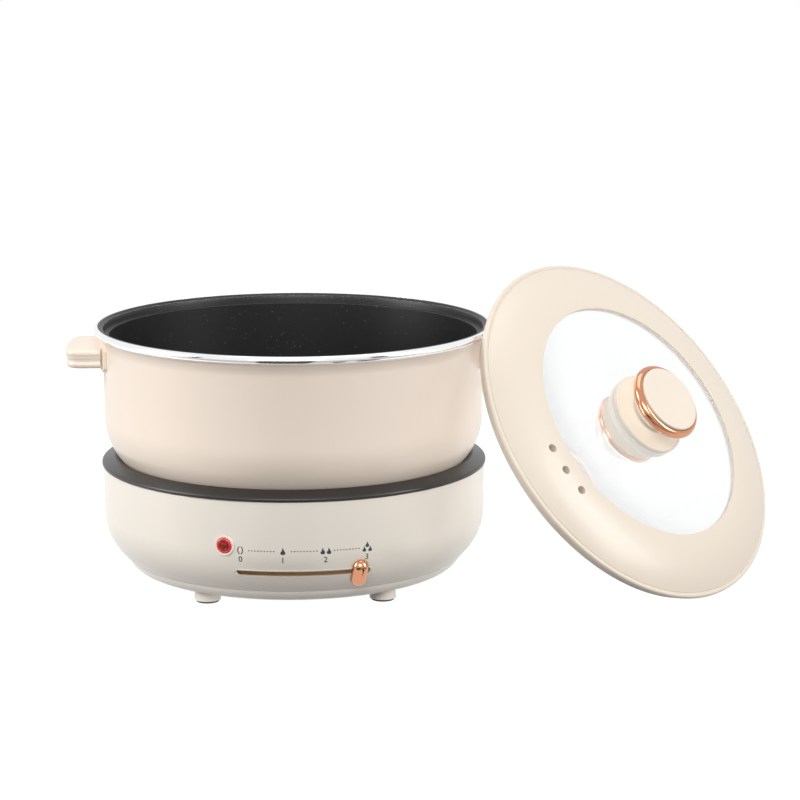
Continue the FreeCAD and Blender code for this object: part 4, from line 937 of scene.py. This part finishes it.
class HOTPOT_OT_controls(bpy.types.Operator):
    """Slot strip, sliding knob and red lamp"""
    bl_idname = "hotpot.controls"
    bl_label = "Controls"

    def execute(self, context):
        sizes = given("base")
        settle(slider(sizes), "heat_slider", "rose_gold", "slider_knob")
        finish_nodes({
            "strip": "slot_strip slider_carriage", "steel": "slider_arm",
            "switch_grey": "selector_shaft selector_switch", "bulb_glass": "lamp_bulb",
        })
        r = sizes.lamp_r
        place = outward(sizes.lamp_deg, sizes.lamp_z, SHELL_R)
        cap = [
            (0, -2.8), (r, -2.8), (r, 0.3), (r - 0.9, 1.1, -1.0), (r * 0.72, 1.1), (r * 0.68, 0.5), (0, 0.5),
        ]
        settle(turned("lamp_cap", cap, "lamp_red", 0.15, 96, place), "base", "lamp_red", "lamp_lens")
        eye = [
            (0, 0.5), (r * 0.66, 0.5), (r * 0.66, 0.9), (r * 0.52, 1.1), (r * 0.46, 0.8), (r * 0.36, 0.8),
            (r * 0.30, 1.05), (0, 1.15, -9),
        ]
        settle(turned("lamp_eye", eye, "lamp_dark", 0.08, 96, place), "base", "lamp_red")
        inner, outer = r + BEZEL_GAP, r + BEZEL_W
        rim = [(inner, -8.4), (outer, -8.4), (outer, 0.15), (outer - 0.5, 0.6, -0.6), (inner, 0.35)]
        settle(turned("lamp_rim", rim, "lamp_pale", 0.15, 96, place), "base", "lamp_pale", "lamp_bezel")
        return {"FINISHED"}


def wrapped(name, data, deg, z):
    """Turn a flat curve or text into a mesh and bend it on to the shell."""
    sizes = given("base")

    def bend(shape):
        bmesh.ops.remove_doubles(shape, verts=shape.verts, dist=1e-6)
        for vert in shape.verts:
            x, y, lift = vert.co / MM
            r = surface_r(sizes, z + y) + lift
            a = math.radians(FRONT_DEG + deg) + x / SHELL_R
            vert.co = Vector((r * math.cos(a), r * math.sin(a), z + y)) * MM
        bmesh.ops.recalc_face_normals(shape, faces=shape.faces)

    holder = linked(name, data)
    mesh = plain_mesh(holder)
    bpy.data.objects.remove(holder)
    reworked(mesh, bend)
    return linked(name, mesh)


def printed(name, loops, deg, z, height):
    """A flat printed shape on the shell; its loops are closed outlines in its own height."""
    data = bpy.data.curves.new(name, "CURVE")
    data.dimensions = "2D"
    data.fill_mode = "BOTH"
    data.extrude = INK_LIFT * MM
    for points in loops:
        line = data.splines.new("POLY")
        line.points.add(len(points) - 1)
        for at, (x, y) in zip(line.points, points):
            at.co = (x * height * MM, y * height * MM, 0, 1)
        line.use_cyclic_u = True
    return wrapped(name, data, deg, z)


def number(value, deg, z):
    """A printed number on the shell."""
    text = bpy.data.curves.new("number", "FONT")
    text.body = str(value)
    text.size = NUMBER_HEIGHT * MM
    text.offset = 0.04 * MM
    text.align_x = "CENTER"
    text.align_y = "CENTER"
    text.extrude = INK_LIFT * MM
    return wrapped("number", text, deg, z)


def rounded_line(points, step=6):
    """A smooth closed line through a few points."""
    line = []
    for i in range(len(points)):
        a, b, c, d = (Vector(points[(i + k) % len(points)]) for k in (-1, 0, 1, 2))
        for k in range(step):
            t = k / step
            bow = (2 * a - 5 * b + 4 * c - d) * t ** 2 + (3 * b - a - 3 * c + d) * t ** 3
            line.append(tuple(0.5 * (2 * b + (c - a) * t + bow)))
    return line


def flame(x, y, size):
    """A plain flame: one leaning tongue."""
    tongue = [
        (0.0, 0.02), (-0.24, 0.10), (-0.31, 0.34), (-0.13, 0.58), (-0.02, 1.0), (0.13, 0.72), (0.33, 0.38),
        (0.30, 0.10),
    ]
    return [(x + size * px, y + size * py) for px, py in rounded_line(tongue)]


def arc_mark(side):
    """One half of an upright oval ring."""
    turn = [math.radians(-78 + 156 * i / 20) for i in range(21)]
    outer = [(side * 0.40 * math.cos(a), 0.56 * math.sin(a)) for a in turn]
    inner = [(side * 0.26 * math.cos(a), 0.44 * math.sin(a)) for a in reversed(turn)]
    return outer + inner


class HOTPOT_OT_marks(bpy.types.Operator):
    """Printed ring, flames, numbers and dots over the slot"""
    bl_idname = "hotpot.marks"
    bl_label = "Marks"

    def execute(self, context):
        sizes = given("base")
        z, step = sizes.mark_z, sizes.mark_step
        first = sizes.slot_mid + 0.15 - 1.5 * step
        sets = [
            [arc_mark(1), arc_mark(-1)],
            [flame(0, -0.5, 1.0)],
            [flame(-0.42, -0.5, 0.92), flame(0.42, -0.5, 0.92)],
            [flame(-0.42, -0.55, 0.78), flame(0.42, -0.55, 0.78), flame(0, 0.05, 0.80)],
        ]
        parts = []
        for i, loops in enumerate(sets):
            parts.append(printed("mark", loops, first + i * step, z, MARK_HEIGHT))
            parts.append(number(i, first + i * step, sizes.label_z))
        turn = [2 * math.pi * i / 10 for i in range(10)]
        pitch = (step - 2 * DOT_GAP_DEG) / (sizes.dots - 1)
        for i in range(len(sets) - 1):
            dot = printed("dot", [[(math.cos(a), math.sin(a)) for a in turn]], 0, z, DOT_R)
            parts.append(around("dots", dot, "print", sizes.dots, first + i * step + DOT_GAP_DEG, pitch))
        settle(paint(joined("panel_marks", parts), "print"), "base", "collar_dark")
        return {"FINISHED"}


class HOTPOT_OT_underside(bpy.types.Operator):
    """Bottom cover with its feet, pads and screws"""
    bl_idname = "hotpot.underside"
    bl_label = "Underside"

    def execute(self, context):
        settle(copied("bottom_cover", "bottom", "base_cream", 28.0), "base", "base_cream", "bottom_cover")
        low, high = corners("foot_pad_1")
        x, y = abs(low.x + high.x) / 2, abs(low.y + high.y) / 2
        pad = [(0, 0), (PAD_R - 0.6, 0), (PAD_R, 0.6, -0.6), (PAD_R, PAD_Z), (0, PAD_Z)]
        pads = []
        for side in (-x, x):
            one = turned("pad", pad, "rubber", 0.1, 64, Matrix.Translation((side * MM, -y * MM, 0)))
            pads.append(around("pad", one, "rubber", 2, 0.0, 180.0))
        whole = smooth(paint(joined("pads", pads), "rubber"))
        settle(whole, "base", "pad_rubber", "foot_pad_1", "foot_pad_2", "foot_pad_3", "foot_pad_4")
        finish_nodes({"steel": "cover_screws"})
        return {"FINISHED"}


# Lid

def lid_ring_points(sizes):
    """The ring's section, and the centre of its rounded face."""
    p, q = Vector((sizes.flange_r - 3.4, 3.0)), Vector((sizes.window_r, sizes.window_z))
    chord = q - p
    rise = math.sqrt(sizes.ring_bend ** 2 - chord.length_squared / 4)
    return p, q, (p + q) / 2 + Vector((-chord.y, chord.x)).normalized() * rise


def dome_r(sizes):
    """Radius of the sphere that the glass's outer face follows."""
    return (sizes.window_r ** 2 + sizes.crown ** 2) / (2 * sizes.crown)


def dome_level(sizes, r):
    """Height of the glass's outer face."""
    big = dome_r(sizes)
    return sizes.window_z - GLASS_DROP + sizes.crown - big + math.sqrt(big * big - r * r)


class HOTPOT_OT_lid(bpy.types.Operator):
    """Lid ring with its steam holes, glass and seal"""
    bl_idname = "hotpot.lid"
    bl_label = "Lid"

    def execute(self, context):
        sizes = given("lid")
        r, lip, window, glass_t = sizes.flange_r, sizes.lip_r, sizes.window_r, sizes.glass_t
        p, q, centre = lid_ring_points(sizes)
        inner = sizes.ring_bend - sizes.ring_t
        lip_in, hold = lip - 2.0, window + 6.5
        skirt = hold + 1.6
        under = dome_level(sizes, hold) - glass_t - 2.9
        skirt_z, lip_z = (centre.y + math.sqrt(inner ** 2 - (at - centre.x) ** 2) for at in (skirt, lip_in))
        points = [
            (lip_in, -5.0), (lip, -5.0), (lip, 0), (r, 0), (r, 1.5), (r - 1.5, 3.0, -1.5), (p.x + 1.0, 3.0),
            (p.x + 0.65, 2.45), (p.x + 0.15, 2.45), (p.x, p.y), (window, q.y, -sizes.ring_bend),
            (window, dome_level(sizes, window) + 0.1), (hold, dome_level(sizes, hold) + 0.1),
            (hold, under), (skirt, under), (skirt, skirt_z), (lip_in, lip_z, inner),
        ]
        ring = turned("lid_band", points, "lid_cream", 0.35, 288)
        holes = []
        for i in (-1, 0, 1):
            a = math.radians(STEAM_DEG + i * STEAM_STEP_DEG)
            x, y = (window + STEAM_IN) * math.cos(a), (window + STEAM_IN) * math.sin(a)
            holes.append(rod("steam_cut", STEAM_R, (x, y, -2), (x, y, 30)))
        cut_by(ring, holes)
        place = lid_place()
        ring.data.transform(place)
        settle(smooth(paint(ring, "lid_cream"), 28.0), "lid", "lid_cream", "lid_ring")
        edge, bore, dome = hold - 0.3, 3.2, dome_r(sizes)
        pane = [
            (bore, dome_level(sizes, bore) - glass_t),
            (edge, dome_level(sizes, edge) - glass_t, dome - glass_t),
            (edge, dome_level(sizes, edge)), (bore, dome_level(sizes, bore), -dome),
        ]
        settle(turned("lid_pane", pane, "glass", 0.5, 256, place), "lid", "lid_glass", "lid_glass")
        finish_nodes({"silicone": "glass_gasket", "lid_cream": "clamp_ring"})
        return {"FINISHED"}


class HOTPOT_OT_knob(bpy.types.Operator):
    """Lid knob: flared body, bright ring and cap, with its screw below the glass"""
    bl_idname = "hotpot.knob"
    bl_label = "Lid knob"

    def execute(self, context):
        sizes = given("lid")
        place = lid_place()
        foot, ring_r, cap_r = sizes.knob_foot_r, sizes.knob_r, sizes.cap_r
        z, low = dome_level(sizes, 0) + 0.1, dome_level(sizes, foot) + 0.1
        top = z + sizes.knob_h
        seat, h = top - 8.8, 7.0
        body = [
            (0, z + 14), (2.65, z + 14), (2.65, z), (foot - 1.2, low), (foot, low + 2.4, -4.0),
            (foot - 0.8, low + 4.3, -1.5), (foot - 1.8, low + 3.9, -1.0), (17.0, z + 4.9, 60.0),
            (16.2, z + 5.9, 1.2), (16.2, z + 7.6), (14.6, z + 8.2), (14.6, z + 10.6), (13.9, z + 11.0),
            (14.0, z + 13.4), (ring_r - 1.8, seat - 0.6, 16.0), (ring_r - 1.8, seat), (0, seat),
        ]
        settle(turned("knob_body", body, "knob_cream", 0.6, 160, place), "lid", "knob_cream", "knob_base")
        ring = [
            (cap_r + 0.15, seat + 0.1), (ring_r - 2.0, seat + 0.1), (ring_r - 2.6, seat + h, -3.7),
            (cap_r + 0.5, seat + h), (cap_r + 0.15, seat + h - 0.6),
        ]
        settle(turned("knob_hoop", ring, "rose_gold", 0.15, 192, place), "lid", "rose_gold", "knob_ring")
        cap = [
            (0, seat + 0.1), (cap_r, seat + 0.1), (cap_r, top - 1.0), (cap_r - 1.0, top, -1.0),
            (cap_r - 2.4, top), (0, top - 0.8, 292.0),
        ]
        settle(turned("knob_top", cap, "knob_cream", 0.3, 160, place), "lid", "knob_cream", "knob_cap")
        finish_nodes({"silicone": "knob_washer", "steel": "knob_screw"})
        return {"FINISHED"}


# Inner parts

class HOTPOT_OT_heating(bpy.types.Operator):
    """Heating plate, element, reflector and the sprung sensor"""
    bl_idname = "hotpot.heating"
    bl_label = "Heating parts"

    def execute(self, context):
        finish_nodes({
            "plate_metal": "heating_plate sensor_cap", "element_metal": "heating_element",
            "ceramic": "plate_spacers thermostat thermal_fuse",
            "steel": "plate_screws reflector reflector_screws sensor_holder sensor_spring",
        })
        return {"FINISHED"}


class HOTPOT_OT_inlet(bpy.types.Operator):
    """Power inlet, its pins and the wiring behind it"""
    bl_idname = "hotpot.inlet"
    bl_label = "Inlet and wiring"

    def execute(self, context):
        inlet = copied("power_inlet", "inlet_body", "socket_black", 30.0)
        settle(inlet, "base", "inlet_black", "power_inlet")
        finish_nodes({
            "brass": "inlet_pins", "steel": "inlet_screws", "ceramic": "terminal_block",
            "lead_cover": "lead_wires",
        })
        return {"FINISHED"}


# Stage

# Lamps: name, place, target, size, watts and whether they cast a shadow
LAMPS = (
    ("left", (-1.8, -0.35, 0.8), (0, 0, 0.1), (0.9, 1.5), 29, True),
    ("right", (1.8, -0.7, 0.9), (0, 0, 0.1), (0.8, 1.2), 23, False),
    ("front", (-0.2, -2.3, 1.4), (0.05, 0, 0.08), (1.6, 0.9), 30, True),
    ("over", (0.1, 0.3, 2.1), (0, 0, 0), (1.4, 1.4), 10, True),
)
# Cards over the floor, painted dark reflections that only mirrors see: name, grey, level and corners in plan
FLOOR_CARDS = (
    ("floor_flag", 0.02, 0.001, [(-0.055, -0.16), (0.02, -0.16), (0.62, -3), (-0.98, -3)]),
    ("knob_flag", 0.02, 0.0012, [(0.060, -0.138), (0.078, -0.138), (0.13, -0.26), (0.09, -0.26)]),
    ("side_flag", 0.02, 0.0012, [(0.1, -0.13), (0.13, -0.12), (0.21, -0.2), (0.15, -0.24)]),
    ("table_shade", 0.4, 0.0006, [(-0.9, -0.17), (0.9, -0.17), (1.6, -1.5), (-1.6, -1.5)]),
)
# Upright dark cards, painted dark reflections that only mirrors see: name, two places in plan and height
UPRIGHT_CARDS = (
    ("left_flag", (-2.7, -1.6), (-2.5, -1.9), 1.6),
    ("right_flag", (2.3, -2.4), (2.7, -2.0), 1.8),
)


def cleared(owner, kind):
    """The emptied tree of a world or material, with its new output's socket."""
    owner.use_nodes = True
    owner.node_tree.nodes.clear()
    return owner.node_tree, owner.node_tree.nodes.new(kind).inputs["Surface"]


def wash(tree):
    """One for whatever looks at it directly or by a mirror or glass, nothing for the rest."""
    path = tree.nodes.new("ShaderNodeLightPath").outputs
    seen = Value(tree, path["Is Camera Ray"]).most(Value(tree, path["Is Glossy Ray"]))
    return seen.most(Value(tree, path["Is Transmission Ray"]))


def surroundings():
    """White all round for the camera and mirrors, and a plain light level for the rest."""
    world = bpy.data.worlds.new("surroundings")
    tree, end = cleared(world, "ShaderNodeOutputWorld")
    strength = wash(tree) * (1.0 - WORLD_LEVEL) + WORLD_LEVEL
    plain = put(tree, "ShaderNodeBackground", Color=(1, 1, 1, 1), Strength=strength)[0]
    tree.links.new(plain, end)
    return world


def paper():
    """The floor's white, which still takes the object's shadow."""
    material = bpy.data.materials.new("floor_paper")
    tree, end = cleared(material, "ShaderNodeOutputMaterial")
    matt = put(tree, "ShaderNodeBsdfDiffuse", Color=(*FLOOR_TONE, 1))[0]
    glow = put(tree, "ShaderNodeEmission", Strength=wash(tree) * FLOOR_GLOW)[0]
    both = put(tree, "ShaderNodeAddShader", i0=matt, i1=glow)[0]
    tree.links.new(both, end)
    return material


def card(name, grey, points):
    """A sheet that only mirrors see, for the contrast in bright metal: a painted dark reflection."""
    sheet = piece_from(name, points, [(0, 1, 2, 3)])
    sheet.data.materials.append(Finish(name, Base_Color=(grey, grey, grey, 1), Roughness=0.9).material)
    for sight in ("camera", "diffuse", "transmission", "shadow"):
        setattr(sheet, "visible_" + sight, False)


def lamp(name, place, target, size, watts, shadow):
    """A soft rectangular lamp that faces a target."""
    light = bpy.data.lights.new(name, "AREA")
    light.shape = "RECTANGLE"
    light.size, light.size_y = size
    light.energy = watts
    light.use_shadow = shadow
    holder = linked(name, light)
    holder.location = place
    holder.rotation_euler = (Vector(place) - Vector(target)).to_track_quat("Z", "Y").to_euler()


class HOTPOT_OT_stage(bpy.types.Operator):
    """Pale floor, white surroundings, soft lamps, cards of painted dark reflection and the camera"""
    bl_idname = "hotpot.stage"
    bl_label = "Stage"

    def execute(self, context):
        scene = bpy.context.scene
        scene.view_settings.view_transform = "Standard"
        scene.world = surroundings()
        reach, low = 6, -0.0002
        edge = [(-reach, -reach, low), (reach, -reach, low), (reach, reach, low), (-reach, reach, low)]
        floor = piece_from("floor", edge, [(0, 1, 2, 3)])
        floor.data.materials.append(paper())
        for values in LAMPS:
            lamp(*values)
        for name, grey, z, points in FLOOR_CARDS:
            card(name, grey, [(x, y, z) for x, y in points])
        for name, start, end, high in UPRIGHT_CARDS:
            card(name, 0.02, [(*start, 0), (*end, 0), (*end, high), (*start, high)])
        camera = linked("camera", bpy.data.cameras.new("camera"))
        camera.data.lens = CAMERA_LENS
        camera.data.sensor_width = 36.0
        camera.location = CAMERA_PLACE
        camera.rotation_euler = [math.radians(turn) for turn in CAMERA_DEG]
        scene.camera = camera
        return {"FINISHED"}


# Add-on

class HOTPOT_PT_panel(bpy.types.Panel):
    """Sizes, colours and the steps that build the hot pot"""
    bl_idname = "HOTPOT_PT_panel"
    bl_label = "Electric Hot Pot"
    bl_space_type = "VIEW_3D"
    bl_region_type = "UI"
    bl_category = "Hot Pot"

    def draw(self, context):
        for step in STEPS:
            self.layout.operator(step.bl_idname)
        for group in GROUPS:
            box = self.layout.box()
            values = getattr(context.scene, "hot_pot_" + group)
            for label in values.__annotations__:
                box.prop(values, label)


GROUPS = {"pot": PotSizes, "base": BaseSizes, "lid": LidSizes, "colours": Colours}
STEPS = (
    HOTPOT_OT_pot, HOTPOT_OT_rim, HOTPOT_OT_handles, HOTPOT_OT_shell, HOTPOT_OT_collar, HOTPOT_OT_controls,
    HOTPOT_OT_marks, HOTPOT_OT_underside, HOTPOT_OT_lid, HOTPOT_OT_knob, HOTPOT_OT_heating, HOTPOT_OT_inlet,
    HOTPOT_OT_stage,
)


def register():
    for kind in (*GROUPS.values(), *STEPS, HOTPOT_PT_panel):
        bpy.utils.register_class(kind)
    for name, group in GROUPS.items():
        setattr(bpy.types.Scene, "hot_pot_" + name, PointerProperty(type=group))


def unregister():
    for name in GROUPS:
        delattr(bpy.types.Scene, "hot_pot_" + name)
    for kind in reversed((*GROUPS.values(), *STEPS, HOTPOT_PT_panel)):
        bpy.utils.unregister_class(kind)


def plain(box):
    return [[float(v) for v in corner] for corner in box]


def main():
    register()
    turned_tree()
    ring_tree()
    FINISHES.update(make_finishes(given("colours")))
    for step in STEPS:
        group, name = step.bl_idname.split(".")
        getattr(getattr(bpy.ops, group), name)()


if __name__ == "__main__":
    main()
